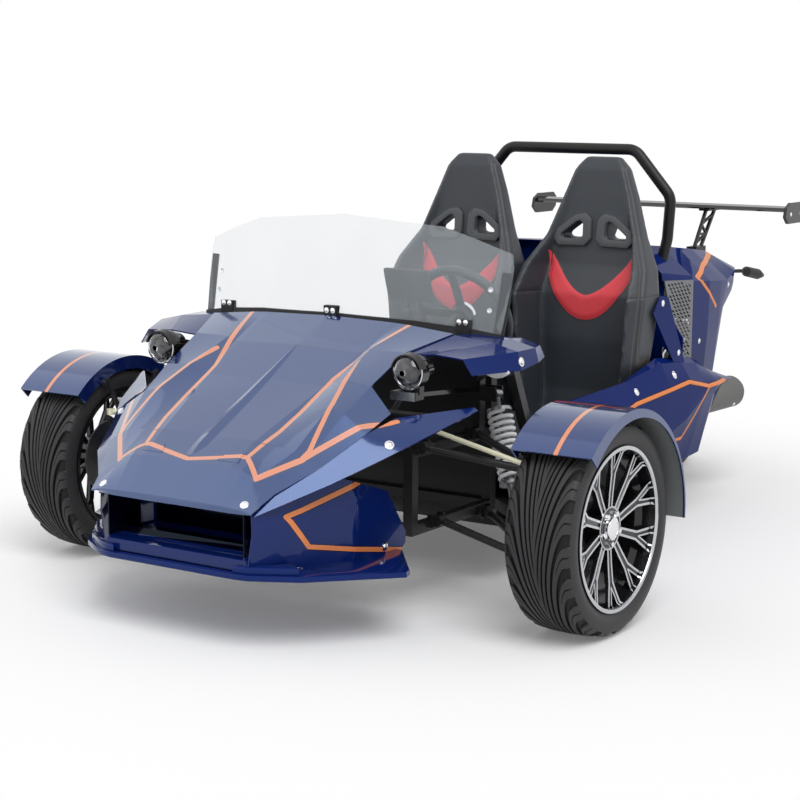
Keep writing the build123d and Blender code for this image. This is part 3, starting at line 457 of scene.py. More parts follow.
leather("leather_left", SEAT_X)
leather("leather_right", -SEAT_X)
shader, place = blank("leather_plain")
set_on(shader, Base_Color=LEATHER, Roughness=0.5, Normal=bump(pores(place), 0.0003))
print("seat middle", round(SEAT_X, 3))

# %% [markdown]
# Now every solid gets its finish from one table. A solid that a better shape replaces further
# down is left out here.

# %% Finish of each solid
DRESS = {
    "lacquer_hood": "hood",
    "lacquer": "cowl rear_wall",
    "lacquer_side": "side_panels",
    "lacquer_tail": "rear_body",
    "lacquer_fender": "fender_left fender_right",
    "powder_black": "frame_front frame_floor frame_rear roll_bar floor_pan seat_rails swingarm upper_arms "
                    "lower_arms wing_struts steering_column",
    "plastic_black": "dash plate_bracket rear_lamps steering_wheel screen_trim indicators",
    "gloss_black": "wing headlamps",
    "screen_clear": "windscreen",
    "muffler_grey": "muffler",
    "steel": "radiator struts disc_front_left disc_front_right disc_rear",
    "dark_steel": "knuckle_left knuckle_right steering_rack",
    "zinc_yellow": "tie_rod_left tie_rod_right",
    "mesh_grey": "quarter_grilles",
    "cast_alloy": "engine",
    "wheel_black": "rim_front_left rim_front_right rim_rear",
}
for finish, names in DRESS.items():
    for name in names.split():
        nodes[name].data.materials.clear()
        nodes[name].data.materials.append(finishes[finish])
print("dressed", sum(len(names.split()) for names in DRESS.values()), "of", len(nodes))

# %% [markdown]
# Most new pieces are turned shapes: tyres, rims' rings, bolts, lamp glasses. One helper spins a
# line of (distance along the axis, radius) points, and one runs a bar along a route. Another makes
# a finished mesh a piece that rides on a body and shades smooth except at its sharp edges.

# %% Helpers for new pieces
def join(bed, gap=1e-6):
    bmesh.ops.remove_doubles(bed, verts=bed.verts, dist=gap)


def face_out(bed):
    bmesh.ops.recalc_face_normals(bed, faces=bed.faces)


def move(bed, matrix):
    bmesh.ops.transform(bed, matrix=matrix, verts=bed.verts)


def placed(name, data):
    """A new object in the scene."""
    made = bpy.data.objects.new(name, data)
    scene.collection.objects.link(made)
    return made


def piece(name, bed, finish, sharp=35.0, body="chassis"):
    """An object from a bmesh, smooth shaded with its finish; it rides on the body."""
    join(bed)
    face_out(bed)
    mesh = bpy.data.meshes.new(name)
    bed.to_mesh(mesh)
    bed.free()
    mesh.shade_smooth()
    mesh.set_sharp_from_angle(angle=radians(sharp))
    mesh.materials.append(finishes[finish])
    made = placed(name, mesh)
    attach(made, body)
    return made


def aimed(place, direction):
    """The matrix that takes +X to a direction and the origin to a place."""
    return Matrix.Translation(place) @ Vector(direction).to_track_quat("X", "Z").to_matrix().to_4x4()


def turn(bed, line, steps, matrix):
    """Spins a line of (along, radius) points about +X, then puts it in place."""
    known = len(bed.verts)
    corners = [bed.verts.new((along, 0.0, radius)) for along, radius in line]
    edges = [bed.edges.new(pair) for pair in zip(corners, corners[1:])]
    bmesh.ops.spin(bed, geom=corners + edges, axis=(1, 0, 0), cent=(0, 0, 0), angle=2 * pi, steps=steps,
                   use_merge=True)
    bed.verts.ensure_lookup_table()
    bmesh.ops.transform(bed, matrix=matrix, verts=bed.verts[known:])


def bar(bed, route, wide, high, up):
    """Runs a small rectangle along a route; up is the way its height points."""
    face = bmesh.ops.create_grid(bed, x_segments=1, y_segments=1, size=0.5)["verts"][0].link_faces[0]
    before = Matrix.Identity(4)
    for i, place in enumerate(route):
        ahead = (route[min(i + 1, len(route) - 1)] - route[max(i - 1, 0)]).normalized()
        side = ahead.cross(up).normalized()
        rise = side.cross(ahead)
        frame_here = Matrix((side * wide, rise * high, ahead)).transposed().to_4x4()
        frame_here.translation = place
        if i:
            grown = bmesh.ops.extrude_face_region(bed, geom=[face])["geom"]
            face = next(f for f in grown if isinstance(f, bmesh.types.BMFace))
        bmesh.ops.transform(bed, matrix=frame_here @ before.inverted(), verts=face.verts)
        before = frame_here


print("piece helpers ready")

# %% [markdown]
# Other pieces start as sheets or as a copy of a solid. They share these steps: copy, give a
# thickness, find the sharp edges, round them, mirror.

# %% Helpers that shape a mesh
def copy_of(node):
    """A bmesh with the faces of a solid, its corners joined."""
    bed = bmesh.new()
    bed.from_mesh(nodes[node].data)
    join(bed, 1e-5)
    return bed


def thicken(bed, faces, by):
    """Extrudes a sheet's faces and moves the new ones by a vector, which makes it a slab."""
    grown = bmesh.ops.extrude_face_region(bed, geom=faces)["geom"]
    bmesh.ops.translate(bed, verts=[v for v in grown if isinstance(v, bmesh.types.BMVert)], vec=by)


def sharp_edges(bed, degrees):
    return [e for e in bed.edges if len(e.link_faces) == 2 and e.calc_face_angle(0) > radians(degrees)]


def round_off(bed, geom, offset, segments, affect="EDGES"):
    bmesh.ops.bevel(bed, geom=geom, offset=offset, segments=segments, profile=0.5, affect=affect, material=-1)


def add_twin(bed):
    """Mirrors all of it to the car's other side."""
    bmesh.ops.mirror(bed, geom=bed.verts[:] + bed.edges[:] + bed.faces[:], axis="X", merge_dist=0.0)


print("shaping helpers ready")

# %% [markdown]
# The tread has fine grooves that start almost along the middle and swoop out to the shoulders. A
# finer section than the solid's is spun in eight steps to each groove. Every ring of points is slid
# round by the swoop of its distance from the middle, and points in a groove are sunk.

# %% Tyre section and tread
GROOVES = 20
STEP_SHARES = [0.0, 0.27, 0.285, 0.315, 0.33, 0.58, 0.625, 0.955]
GROOVE_SINK, SIPE_SINK = 0.0075, 0.0035
SWOOP, SWOOP_BEND = radians(80), 1.75
TREAD_EDGE, CENTRE_RIB = 0.084, 0.0025
SIDEWALL = [(0.088, 0.2165), (0.091, 0.225), (0.096, 0.234), (0.1005, 0.243), (0.1022, 0.252), (0.1022, 0.262),
            (0.1003, 0.271), (0.0975, 0.279), (0.0925, 0.2855), (0.088, 0.289)]
TREAD_COLUMNS = [0.084 - 0.005 * i for i in range(16)] + [0.0055, 0.0025]
CROWN_DROP, CROWN_BEND, TREAD_FROM = 0.0055, 2.6, 0.284
GROOVE_FROM, GROOVE_TAPER, SIPE_SPAN, SIPE_FROM = 0.60, 0.006, (0.28, 0.33), 0.060


def tread_radius(across):
    """The tread's radius, which falls off from the middle towards the shoulder."""
    return TYRE_R - CROWN_DROP * (across / TREAD_EDGE) ** CROWN_BEND


def tyre(name, node, centre, body):
    """Spins the section, slides it into the swoop and sinks the grooves; gives the face count."""
    bed = bmesh.new()
    half = SIDEWALL + [(x, tread_radius(x)) for x in TREAD_COLUMNS]
    turn(bed, half + [(-x, r) for x, r in half[::-1]], GROOVES * len(STEP_SHARES), Matrix.Identity(4))
    join(bed)
    period = 2 * pi / GROOVES
    # each point's groove value sinks it and also sets how much painted shade the rubber gets there
    sunk_and_shade = bed.verts.layers.float.new("sunk_and_shade")
    for v in bed.verts:
        across, radius = abs(v.co.x), hypot(v.co.y, v.co.z)
        step = round(atan2(v.co.z, -v.co.y) / period * len(STEP_SHARES))
        share = STEP_SHARES[step % len(STEP_SHARES)]
        reach = min(max((across - CENTRE_RIB) / (TREAD_EDGE - CENTRE_RIB), 0.0), 1.0)
        angle = (step // len(STEP_SHARES) + share + (0.5 if v.co.x < 0 else 0.0)) * period
        angle += SWOOP * (1 - (1 - reach) ** SWOOP_BEND)
        on_tread = radius > TREAD_FROM
        if on_tread and share > GROOVE_FROM and across > CENTRE_RIB:
            v[sunk_and_shade] = min(1.0, (across - CENTRE_RIB) / GROOVE_TAPER)
            radius -= GROOVE_SINK * v[sunk_and_shade]
        elif on_tread and SIPE_SPAN[0] < share < SIPE_SPAN[1] and across > SIPE_FROM:
            v[sunk_and_shade] = 1.0
            radius -= SIPE_SINK
        v.co.y, v.co.z = -radius * cos(angle), radius * sin(angle)
    bmesh.ops.translate(bed, verts=bed.verts, vec=centre)
    made = piece(name, bed, "rubber", 28.0, body)
    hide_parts(node)
    return len(made.data.polygons)


CENTRES = {
    # name: centre, the way its outer side faces, body
    "front_left": (Vector((WHEEL_X, AXLE_Y, AXLE_Z)), 1, "wheel_front_left"),
    "front_right": (Vector((-WHEEL_X, AXLE_Y, AXLE_Z)), -1, "wheel_front_right"),
    "rear": (Vector((0.0, REAR_Y, AXLE_Z)), 1, "wheel_rear"),
}
for word, (centre, side, body) in CENTRES.items():
    print(word, "tyre faces", tyre("tread_" + word, "tyre_" + word, centre, body))

# %% [markdown]
# The rims are gloss black with their edges cut bright. The black casting keeps its solid, and the
# cut edges are thin bright bars laid along the lip and both edges of every forked spoke. A chrome
# cap and five nuts close the hub.

# %% Bright edges, cap and nuts of the wheels
SPOKES, NUTS, NUT_CIRCLE = 10, 5, 0.044
LIP = [(0.0965, 0.2268), (0.0985, 0.2268), (0.0990, 0.2225), (0.0985, 0.2165), (0.0950, 0.2150)]
HUB_RIM = [(0.0655, 0.060), (0.0675, 0.060), (0.0680, 0.057), (0.0665, 0.055)]
CAP = [(0.0670, 0.034), (0.0740, 0.0335), (0.0790, 0.0315), (0.0815, 0.026), (0.0825, 0.020), (0.0815, 0.0195),
       (0.0820, 0.012), (0.0825, 0.0)]
EDGE_RUN = [(0.0650, 0.0085, 0.058), (0.0675, 0.0092, 0.100), (0.0722, 0.0100, 0.150), (0.0775, 0.0205, 0.180),
            (0.0838, 0.0310, 0.2085), (0.0935, 0.0360, 0.2150)]
FORK_RUN = [(0.0722, 0.0, 0.163), (0.0790, 0.0085, 0.186), (0.0842, 0.0165, 0.209), (0.0935, 0.0175, 0.2150)]
EDGE_WIDE, FORK_WIDE, EDGE_HIGH = 0.0064, 0.0044, 0.0022
NUT_OUT, NUT_R, NUT_TOP_R, NUT_HIGH = 0.071, 0.0095, 0.0078, 0.011
for word, (centre, side, body) in CENTRES.items():
    outward = Matrix.Translation(centre) @ Matrix.Scale(side, 4, Vector((1, 0, 0)))
    bright, shiny = bmesh.new(), bmesh.new()
    turn(bright, LIP, 96, outward)
    turn(bright, HUB_RIM, 48, outward)
    for i in range(SPOKES):
        for hand in (-1, 1):
            for run, wide in ((EDGE_RUN, EDGE_WIDE), (FORK_RUN, FORK_WIDE)):
                spun_place = outward @ Matrix.Rotation(2 * pi * i / SPOKES, 4, "X")
                route = [spun_place @ Vector((x, hand * y, r)) for x, y, r in run]
                bar(bright, route, wide, EDGE_HIGH, Vector((side, 0, 0)))
    turn(shiny, CAP, 40, outward)
    for i in range(NUTS):
        angle = 2 * pi * (i + 0.5) / NUTS
        seat_at = outward @ Matrix.Translation((NUT_OUT, NUT_CIRCLE * sin(angle), NUT_CIRCLE * cos(angle)))
        bmesh.ops.create_cone(shiny, cap_ends=True, segments=6, radius1=NUT_R, radius2=NUT_TOP_R, depth=NUT_HIGH,
                              matrix=seat_at @ Matrix.Rotation(pi / 2, 4, "Y"))
    piece("wheel_edges_" + word, bright, "machined", body=body)
    piece("wheel_cap_" + word, shiny, "chrome", body=body)
print("wheels dressed", len(CENTRES))

# %% [markdown]
# Each seat is foam under a taut cover, and its solid has the right planes but hard edges. A copy is
# remeshed into small even faces and smoothed. Then the seams are drawn in, and the chest insert and
# the panels between seams are pushed out, by the distance of each point from the seam lines.

# %% Padded seats
VOXEL, SOFTEN_TIMES = 0.0065, 9
SEAM_WIDE, SEAM_DEEP, PANEL_CROWN, CHEST_CROWN, CHEST_FADE = 0.011, 0.0035, 0.007, 0.004, 0.012
COVER_LOW, PANEL_HALF, PANEL_LOW, PANEL_HIGH, FACING_BACK = 0.40, 0.150, 0.42, 0.93, 0.2


def flat_gap(point, routes):
    """The same distance as run_distance, for plain numbers."""
    nearest = 1.0
    for route in routes:
        for start, end in zip(route, route[1:]):
            run = Vector(end) - Vector(start)
            share = min(max((point - Vector(start)).dot(run) / run.length_squared, 0.0), 1.0)
            nearest = min(nearest, (point - Vector(start) - run * share).length)
    return nearest


def even_mesh(node):
    """A seat's solid as a closed skin of small even faces, softened."""
    bed = copy_of(node)
    rough = bpy.data.meshes.new("rough_" + node)
    bed.to_mesh(rough)
    bed.free()
    mould = placed("mould_" + node, rough)
    remesh = mould.modifiers.new("even", "REMESH")
    remesh.mode, remesh.voxel_size = "VOXEL", VOXEL
    soften = mould.modifiers.new("soften", "SMOOTH")
    soften.factor, soften.iterations = 0.5, SOFTEN_TIMES
    bpy.context.view_layer.update()
    even = bpy.data.meshes.new_from_object(mould.evaluated_get(bpy.context.evaluated_depsgraph_get()))
    bpy.data.objects.remove(mould)
    return even


def seat(word, middle):
    """Pads one seat: sinks its seams, crowns its panels and replaces the solid's look."""
    node = "seat_" + word
    bed = bmesh.new()
    bed.from_mesh(even_mesh(node))
    bed.normal_update()
    for v in bed.verts:
        flat = Vector((abs(v.co.x - middle), v.co.z))
        if v.normal.y > FACING_BACK or v.co.y > AXLE_Y + SEAT_FRONT or v.co.z < COVER_LOW:
            continue
        seam = max(0.0, 1 - flat_gap(flat, SEAT_SEAMS + EDGE_SEAMS) / SEAM_WIDE)
        shift = -SEAM_DEEP * seam * seam
        if flat.x < PANEL_HALF and PANEL_LOW < flat.y < PANEL_HIGH:
            rise = sin(pi * (flat.y - PANEL_LOW) / (PANEL_HIGH - PANEL_LOW))
            shift += PANEL_CROWN * (1 - (flat.x / PANEL_HALF) ** 2) * rise
            upper, lower = chest_edges(flat.x)
            inside = min(upper - flat.y, flat.y - lower)
            if inside > 0:
                shift += CHEST_CROWN * min(1.0, inside / CHEST_FADE)
        v.co += v.normal * shift
    bmesh.ops.smooth_vert(bed, verts=bed.verts, factor=0.25, use_axis_x=True, use_axis_y=True,
                          use_axis_z=True)
    made = piece("cover_" + word, bed, "leather_" + word, 180.0)
    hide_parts(node)
    return len(made.data.polygons)


for word, middle in (("left", SEAT_X), ("right", -SEAT_X)):
    print("seat", word, "faces", seat(word, middle))

# %% [markdown]
# The nose pods are trimmed where they end over the lip and behind the blades. A copy of the solid
# is cut by four planes and the cut edges are closed, which keeps its thickness and its folds.

# %% Nose pods
# a point on each cutting plane and the way it clears
POD_CUTS = [((0.0, -0.271, 0.382), (0.0, 0.352, 1.0)), ((0.0, -0.271, 0.382), (0.0, 1.0, 0.705)),
            ((0.0, -0.166, 0.233), (0.0, 0.66, -0.75)), ((0.0, 0.0, 0.200), (0.0, 0.0, -1.0))]
nose = copy_of("nose")
for place, normal in POD_CUTS:
    everything = nose.verts[:] + nose.edges[:] + nose.faces[:]
    bmesh.ops.bisect_plane(nose, geom=everything, plane_co=car(*place), plane_no=normal, clear_outer=True)
    bmesh.ops.holes_fill(nose, edges=[e for e in nose.edges if e.is_boundary], sides=0)
nose_pods = piece("nose_pods", nose, "lacquer_nose", 20.0)
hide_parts("nose")
print("nose pod faces", len(nose_pods.data.polygons))

# %% [markdown]
# The splitter is one flat lip with swept tips, so it is one outline from above, given its
# thickness and a rounded edge. A raised corner stands where the lip turns the nose.

# %% Splitter lip
LIP_PLAN = [(0.0, -0.711), (0.212, -0.711), (0.256, -0.704), (0.372, -0.626), (0.548, -0.395), (0.540, -0.368),
            (0.412, -0.212), (0.396, -0.216), (0.368, -0.340), (0.306, -0.580), (0.250, -0.650), (0.0, -0.650)]
LIP_RAISED = [(0.205, -0.704), (0.252, -0.696), (0.362, -0.620), (0.318, -0.590), (0.262, -0.655)]
LIP_TOP, LIP_THICK, RAISED_BY, RAISED_SUNK = 0.214, 0.016, 0.020, 0.002
LIP_DROOP, DROOP_FROM, LIP_ROUND = 0.05, 0.30, 0.003


def lip_slab(bed, outline, top, thick):
    """A slab under an outline seen from above; its tips droop a little."""
    corners = [bed.verts.new(car(x, y, top - LIP_DROOP * max(0.0, abs(x) - DROOP_FROM))) for x, y in outline]
    thicken(bed, [bed.faces.new(corners)], (0, 0, -thick))


splitter = bmesh.new()
lip_slab(splitter, LIP_PLAN + [(-x, y) for x, y in LIP_PLAN[::-1] if x], LIP_TOP, LIP_THICK)
for hand in (1, -1):
    lip_slab(splitter, [(hand * x, y) for x, y in LIP_RAISED], LIP_TOP + RAISED_BY, RAISED_BY + RAISED_SUNK)
face_out(splitter)
round_off(splitter, sharp_edges(splitter, 60), LIP_ROUND, 2)
splitter_piece = piece("splitter_lip", splitter, "lacquer", 40.0)
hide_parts("splitter")
print("splitter faces", len(splitter_piece.data.polygons))

# %% [markdown]
# The side blades of the hood are one smooth twisted sheet each, from the nose's corner to a tip
# under the cowl. Its top and lower edge are two open lines; bridging them gives the sheet.

# %% Hood blades
BLADE_ROWS = [
    # distance behind the front axle, breadth and height of the top edge, then of the lower edge
    (-0.690, 0.250, 0.392, 0.268, 0.368),
    (-0.540, 0.362, 0.482, 0.408, 0.447),
    (-0.400, 0.418, 0.558, 0.478, 0.500),
    (-0.290, 0.442, 0.590, 0.541, 0.549),
    (-0.130, 0.590, 0.612, 0.602, 0.604),
]
BLADE_THICK, BLADE_CUTS = 0.004, 3
blades = bmesh.new()
lines = []
for column in (1, 3):
    line = [blades.verts.new(car(row[column], row[0], row[column + 1])) for row in BLADE_ROWS]
    lines += [blades.edges.new(pair) for pair in zip(line, line[1:])]
bmesh.ops.bridge_loops(blades, edges=lines)
bmesh.ops.subdivide_edges(blades, edges=blades.edges[:], cuts=BLADE_CUTS, use_grid_fill=True)
face_out(blades)
bmesh.ops.solidify(blades, geom=blades.faces[:], thickness=BLADE_THICK)
add_twin(blades)
blades_piece = piece("hood_side_blades", blades, "lacquer_blade", 50.0)
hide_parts("hood_blades")
print("blade faces", len(blades_piece.data.polygons))

# %% [markdown]
# The coil springs are round wire, white, with eleven turns. A small circle is spun about an axis
# while it moves along it, and the coil is then laid between the two plates of its strut.

# %% Coil springs
STRUT_TOP, STRUT_LOW = (0.450, 0.220, 0.590), (0.590, 0.122, 0.240)
# the coil's ends as shares of the strut, its sizes, and its turns
SEAT_LOW, SEAT_HIGH, COIL_R, WIRE_R, TURNS, TURN_STEPS = 0.325, 0.855, 0.0325, 0.0060, 11, 24
springs = bmesh.new()
foot, head = Vector(STRUT_LOW), Vector(STRUT_TOP)
axis = (head - foot).normalized()
run = (head - foot).length * (SEAT_HIGH - SEAT_LOW)
wire = bmesh.ops.create_circle(springs, cap_ends=False, segments=10, radius=WIRE_R)["verts"]
bmesh.ops.rotate(springs, verts=wire, cent=(0, 0, 0), matrix=Matrix.Rotation(pi / 2, 3, "X"))
bmesh.ops.translate(springs, verts=wire, vec=(0, 0, COIL_R))
bmesh.ops.spin(springs, geom=wire + springs.edges[:], cent=(0, 0, 0), axis=(1, 0, 0), angle=2 * pi * TURNS,
               dvec=(run / (TURNS * TURN_STEPS), 0, 0), steps=TURNS * TURN_STEPS)
bmesh.ops.holes_fill(springs, edges=[e for e in springs.edges if e.is_boundary], sides=0)
start = foot + axis * ((head - foot).length * SEAT_LOW)
move(springs, aimed(car(*start), axis))
add_twin(springs)
springs_piece = piece("coil_springs", springs, "spring_white", 80.0)
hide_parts("springs")
print("spring faces", len(springs_piece.data.polygons))

# %% [markdown]
# Two moulded rings in each seat frame the slots for shoulder belts. Each is a flat grey frame
# with rounded edges: two outlines, bridged, given a thickness and bevelled.

# %% Belt rings
RING_OUTER = [(0.010, 0.970), (0.013, 1.034), (0.034, 1.054), (0.072, 1.046), (0.143, 0.996), (0.150, 0.966),
              (0.130, 0.944), (0.030, 0.946)]
RING_INNER = [(0.040, 0.980), (0.042, 1.020), (0.053, 1.029), (0.067, 1.025), (0.121, 0.984), (0.122, 0.974),
              (0.114, 0.968), (0.050, 0.970)]
RING_Y, RING_LEAN, RING_FROM, RING_PROUD = 1.172, 0.14, 0.980, 0.012
RING_THICK, RING_ROUND = 0.020, 0.0035


def ring_loop(bed, outline, middle, hand):
    """One closed outline, seen from the front, laid on the lean of the seat's back."""
    corners = []
    for x, z in outline:
        y = RING_Y + (z - RING_FROM) * RING_LEAN - RING_PROUD
        corners.append(bed.verts.new(car(middle + hand * x, y, z)))
    return [bed.edges.new(pair) for pair in zip(corners, corners[1:] + corners[:1])]


bed = bmesh.new()
for middle in (SEAT_X, -SEAT_X):
    for hand in (-1, 1):
        loops = ring_loop(bed, RING_OUTER, middle, hand) + ring_loop(bed, RING_INNER, middle, hand)
        bmesh.ops.bridge_loops(bed, edges=loops)
face_out(bed)
thicken(bed, bed.faces[:], (0, RING_THICK, 0))
face_out(bed)
round_off(bed, sharp_edges(bed, 40), RING_ROUND, 3)
rings = piece("belt_rings", bed, "ring_grey", 50.0)
print("belt ring faces", len(rings.data.polygons))

# %% [markdown]
# The headlamps are round projectors: a black cup that the solid gives, a bowl mirror, a pale ball
# in its middle, a bright ring and a domed clear glass over all. A bright plate lies under each.

# %% Headlamp glass, mirror and ring
LAMP, LAMP_WALL = (0.437, -0.226, 0.706), 0.0016
PLATE_SPAN, PLATE_AHEAD, PLATE_UP = (0.366, 0.444), -0.2045, 0.635
PLATE_WIDE, PLATE_HIGH = 0.024, 0.003
GLASS = [(-0.004, 0.0455), (0.004, 0.0450), (0.013, 0.0405), (0.021, 0.0310), (0.0265, 0.0180), (0.0285, 0.0)]
MIRROR = [(-0.006, 0.0440), (-0.016, 0.0395), (-0.024, 0.0300), (-0.027, 0.0255)]
BALL = [(-0.030, 0.0245), (-0.018, 0.0240), (-0.010, 0.0215), (-0.004, 0.0155), (-0.001, 0.0080), (0.0, 0.0)]
LAMP_RING = [(-0.007, 0.0440), (-0.003, 0.0475), (0.001, 0.0480), (0.002, 0.0462), (-0.004, 0.0435)]
for hand, word in ((1, "left"), (-1, "right")):
    front = aimed(car(hand * LAMP[0], LAMP[1], LAMP[2]), (0, -1, 0))
    glass, mirror, ball = bmesh.new(), bmesh.new(), bmesh.new()
    turn(glass, GLASS, 48, front)
    face_out(glass)
    bmesh.ops.solidify(glass, geom=glass.faces[:], thickness=LAMP_WALL)
    turn(mirror, MIRROR, 48, front)
    turn(mirror, LAMP_RING, 48, front)
    turn(ball, BALL, 32, front)
    piece("lamp_glass_" + word, glass, "lamp_glass", 60.0)
    piece("lamp_mirror_" + word, mirror, "chrome")
    piece("lamp_ball_" + word, ball, "leaf_clear", 60.0)
plates = bmesh.new()
for hand in (1, -1):
    route = [car(hand * x, PLATE_AHEAD, PLATE_UP) for x in PLATE_SPAN]
    bar(plates, route, PLATE_WIDE, PLATE_HIGH, Vector((0, -1, 0)))
piece("lamp_plates", plates, "machined")
print("headlamps done")

# %% [markdown]
# The front indicators are leaf-shaped clear lenses on a stalk. The lens solid is dark like the
# stalk, so a clear ribbed leaf, a stretched and flattened sphere, is set over its front.

# %% Indicator lenses
LEAF_AT, LEAF_HALF, LEAF_PINCH = (0.595, -0.0265, 0.6975), (0.0445, 0.010, 0.0185), 0.45
leaves = bmesh.new()
for hand in (-1, 1):
    made = bmesh.ops.create_uvsphere(leaves, u_segments=28, v_segments=18, radius=1.0)["verts"]
    for v in made:
        v.co.z *= 1 - LEAF_PINCH * v.co.x ** 2
    shape = Matrix.Translation(car(hand * LEAF_AT[0], LEAF_AT[1], LEAF_AT[2]))
    bmesh.ops.transform(leaves, matrix=shape @ Matrix.Diagonal((*LEAF_HALF, 1)), verts=made)
piece("indicator_lenses", leaves, "leaf_clear", 60.0)
print("indicator lenses done")

# %% [markdown]
# Dome-headed bolts with washers hold the panels. Each is given by the panel it sits on and a
# place near it; the nearest point of that panel and its normal put the bolt flat on the sheet.
# All but the muffler's are mirrored.

# %% Bolts on the panels
BOLTS = [
    # node, breadth, distance behind the front axle, height, radius
    ("hood", 0.244, -0.698, 0.399, 0.0095),
    ("hood_blades", 0.479, -0.374, 0.539, 0.0105),
    ("nose", 0.394, -0.271, 0.225, 0.0095),
    ("cowl", 0.650, 0.021, 0.724, 0.0105),
    ("side_panels", 0.533, 0.950, 0.509, 0.0100),
    ("side_panels", 0.533, 1.221, 0.531, 0.0110),
    ("rear_body", 0.512, 1.300, 0.595, 0.0080),
    ("rear_body", 0.512, 1.172, 0.772, 0.0085),
    ("rear_body", 0.378, 1.979, 0.758, 0.0085),
    ("rear_body", 0.433, 1.626, 0.593, 0.0075),
    ("rear_body", 0.300, 1.600, 0.930, 0.0075),
    ("screen_trim", 0.011, 0.010, 0.822, 0.0065),
    ("screen_trim", 0.414, 0.040, 0.812, 0.0065),
    ("screen_trim", 0.436, 0.040, 0.812, 0.0065),
    ("windscreen", 0.480, 0.140, 0.900, 0.0060),
    ("windscreen", 0.480, 0.140, 0.840, 0.0060),
    ("plate_bracket", 0.080, 2.435, 0.600, 0.0060),
    ("muffler", 0.392, 2.030, 0.310, 0.0060),
    ("wing", 0.535, 2.160, 1.010, 0.0060),
    ("wing", 0.535, 2.250, 1.010, 0.0060),
]
# (along, radius) of the washer and the dome, in shares of the bolt's radius
BOLT_LINE = [(-0.05, 1.25), (0.14, 1.25), (0.20, 1.05), (0.22, 0.86), (0.42, 0.74), (0.56, 0.42), (0.60, 0.0)]
skins = dict(nodes, hood_blades=blades_piece, nose=nose_pods)
bpy.context.view_layer.update()
bolts = bmesh.new()
for node, x, y, z, radius in BOLTS:
    for hand in ((1,) if node == "muffler" else (1, -1)):
        place, normal = skins[node].closest_point_on_mesh(car(hand * x, y, z))[1:3]
        turn(bolts, [(a * radius, r * radius) for a, r in BOLT_LINE], 20, aimed(place, normal))
bolts_piece = piece("panel_bolts", bolts, "chrome", 40.0)
print("bolt faces", len(bolts_piece.data.polygons))

# %% [markdown]
# The hood is pressed from one sheet with a raised crease along its middle. A low strip with a
# ridge, lying on the sheet, catches the light as that crease does.

# %% Hood crease
# distance behind the front axle, rise of the ridge and half breadth of the strip
CREASE = [(-0.628, 0.0005, 0.020), (-0.590, 0.0075, 0.024), (-0.540, 0.0090, 0.025),
          (-0.400, 0.0085, 0.022), (-0.290, 0.0070, 0.017), (-0.190, 0.0040, 0.009), (-0.152, 0.0008, 0.002)]
# a sloping line a little above the sheet, from which its nearest point is looked up
ABOVE_Y, ABOVE_Z, ABOVE_SLOPE, STRIP_SUNK = -0.36, 0.65, 0.52, -0.0005
crease = bmesh.new()
last = None
for y, rise, half in CREASE:
    row = []
    for x, lift in ((-half, STRIP_SUNK), (0.0, rise), (half, STRIP_SUNK)):
        above = car(x, y, ABOVE_Z + ABOVE_SLOPE * (y - ABOVE_Y))
        place, normal = nodes["hood"].closest_point_on_mesh(above)[1:3]
        row.append(crease.verts.new(place + normal * lift))
    edges = [crease.edges.new(pair) for pair in zip(row, row[1:])]
    if last:
        bmesh.ops.bridge_loops(crease, edges=last + edges)
    last = edges
piece("hood_crease", crease, "lacquer_hood", 20.0)
print("hood crease done")

# %% [markdown]
# The front edge of the hood is rolled over, so it shows a thick bright edge above the intake. A
# small rounded bar along the edge stands for the roll.

# %% Rolled hood edge
ROLL = [(-0.256, -0.692, 0.381), (-0.200, -0.705, 0.382), (0.200, -0.705, 0.382), (0.256, -0.692, 0.381)]
ROLL_WIDE, ROLL_HIGH, ROLL_ROUND = 0.012, 0.018, 0.0025
roll = bmesh.new()
bar(roll, [car(*place) for place in ROLL], ROLL_WIDE, ROLL_HIGH, Vector((0, 0, 1)))
round_off(roll, roll.edges[:], ROLL_ROUND, 2)
piece("hood_roll", roll, "lacquer_hood", 60.0)
print("hood roll done")

# %% [markdown]
# The steering wheel has a padded rim, three spokes and a bright boss. The solid's rim has an
# eight-sided section, so a round grip is spun over it on the same centre and lean.

# %% Steering wheel rim and boss
STEER_HUB, STEER_R, STEER_LEAN = (0.250, 0.360, 0.800), 0.150, radians(28)
GRIP_R, GRIP_SIDES = 0.0148, 16
HORN = [(-0.004, 0.036), (0.008, 0.0355), (0.012, 0.032), (0.013, 0.027), (0.010, 0.0245), (0.011, 0.018),
        (0.013, 0.010), (0.0135, 0.0)]
facing = (0, cos(STEER_LEAN), sin(STEER_LEAN))
grip, boss = bmesh.new(), bmesh.new()
angles = [2 * pi * i / GRIP_SIDES for i in range(GRIP_SIDES + 1)]
circle = [(GRIP_R * cos(angle), STEER_R + GRIP_R * sin(angle)) for angle in angles]
turn(grip, circle, 72, aimed(car(*STEER_HUB), facing))
piece("steering_grip", grip, "leather_plain", 60.0, "steering_wheel_body")
turn(boss, HORN, 40, aimed(car(*STEER_HUB), facing))
piece("horn_boss", boss, "chrome", body="steering_wheel_body")
print("steering wheel done")

# %% [markdown]
# The display has a dark glass with rounded corners in a thin case on a stalk. The case replaces
# the solid, which is a little larger than the photo shows.

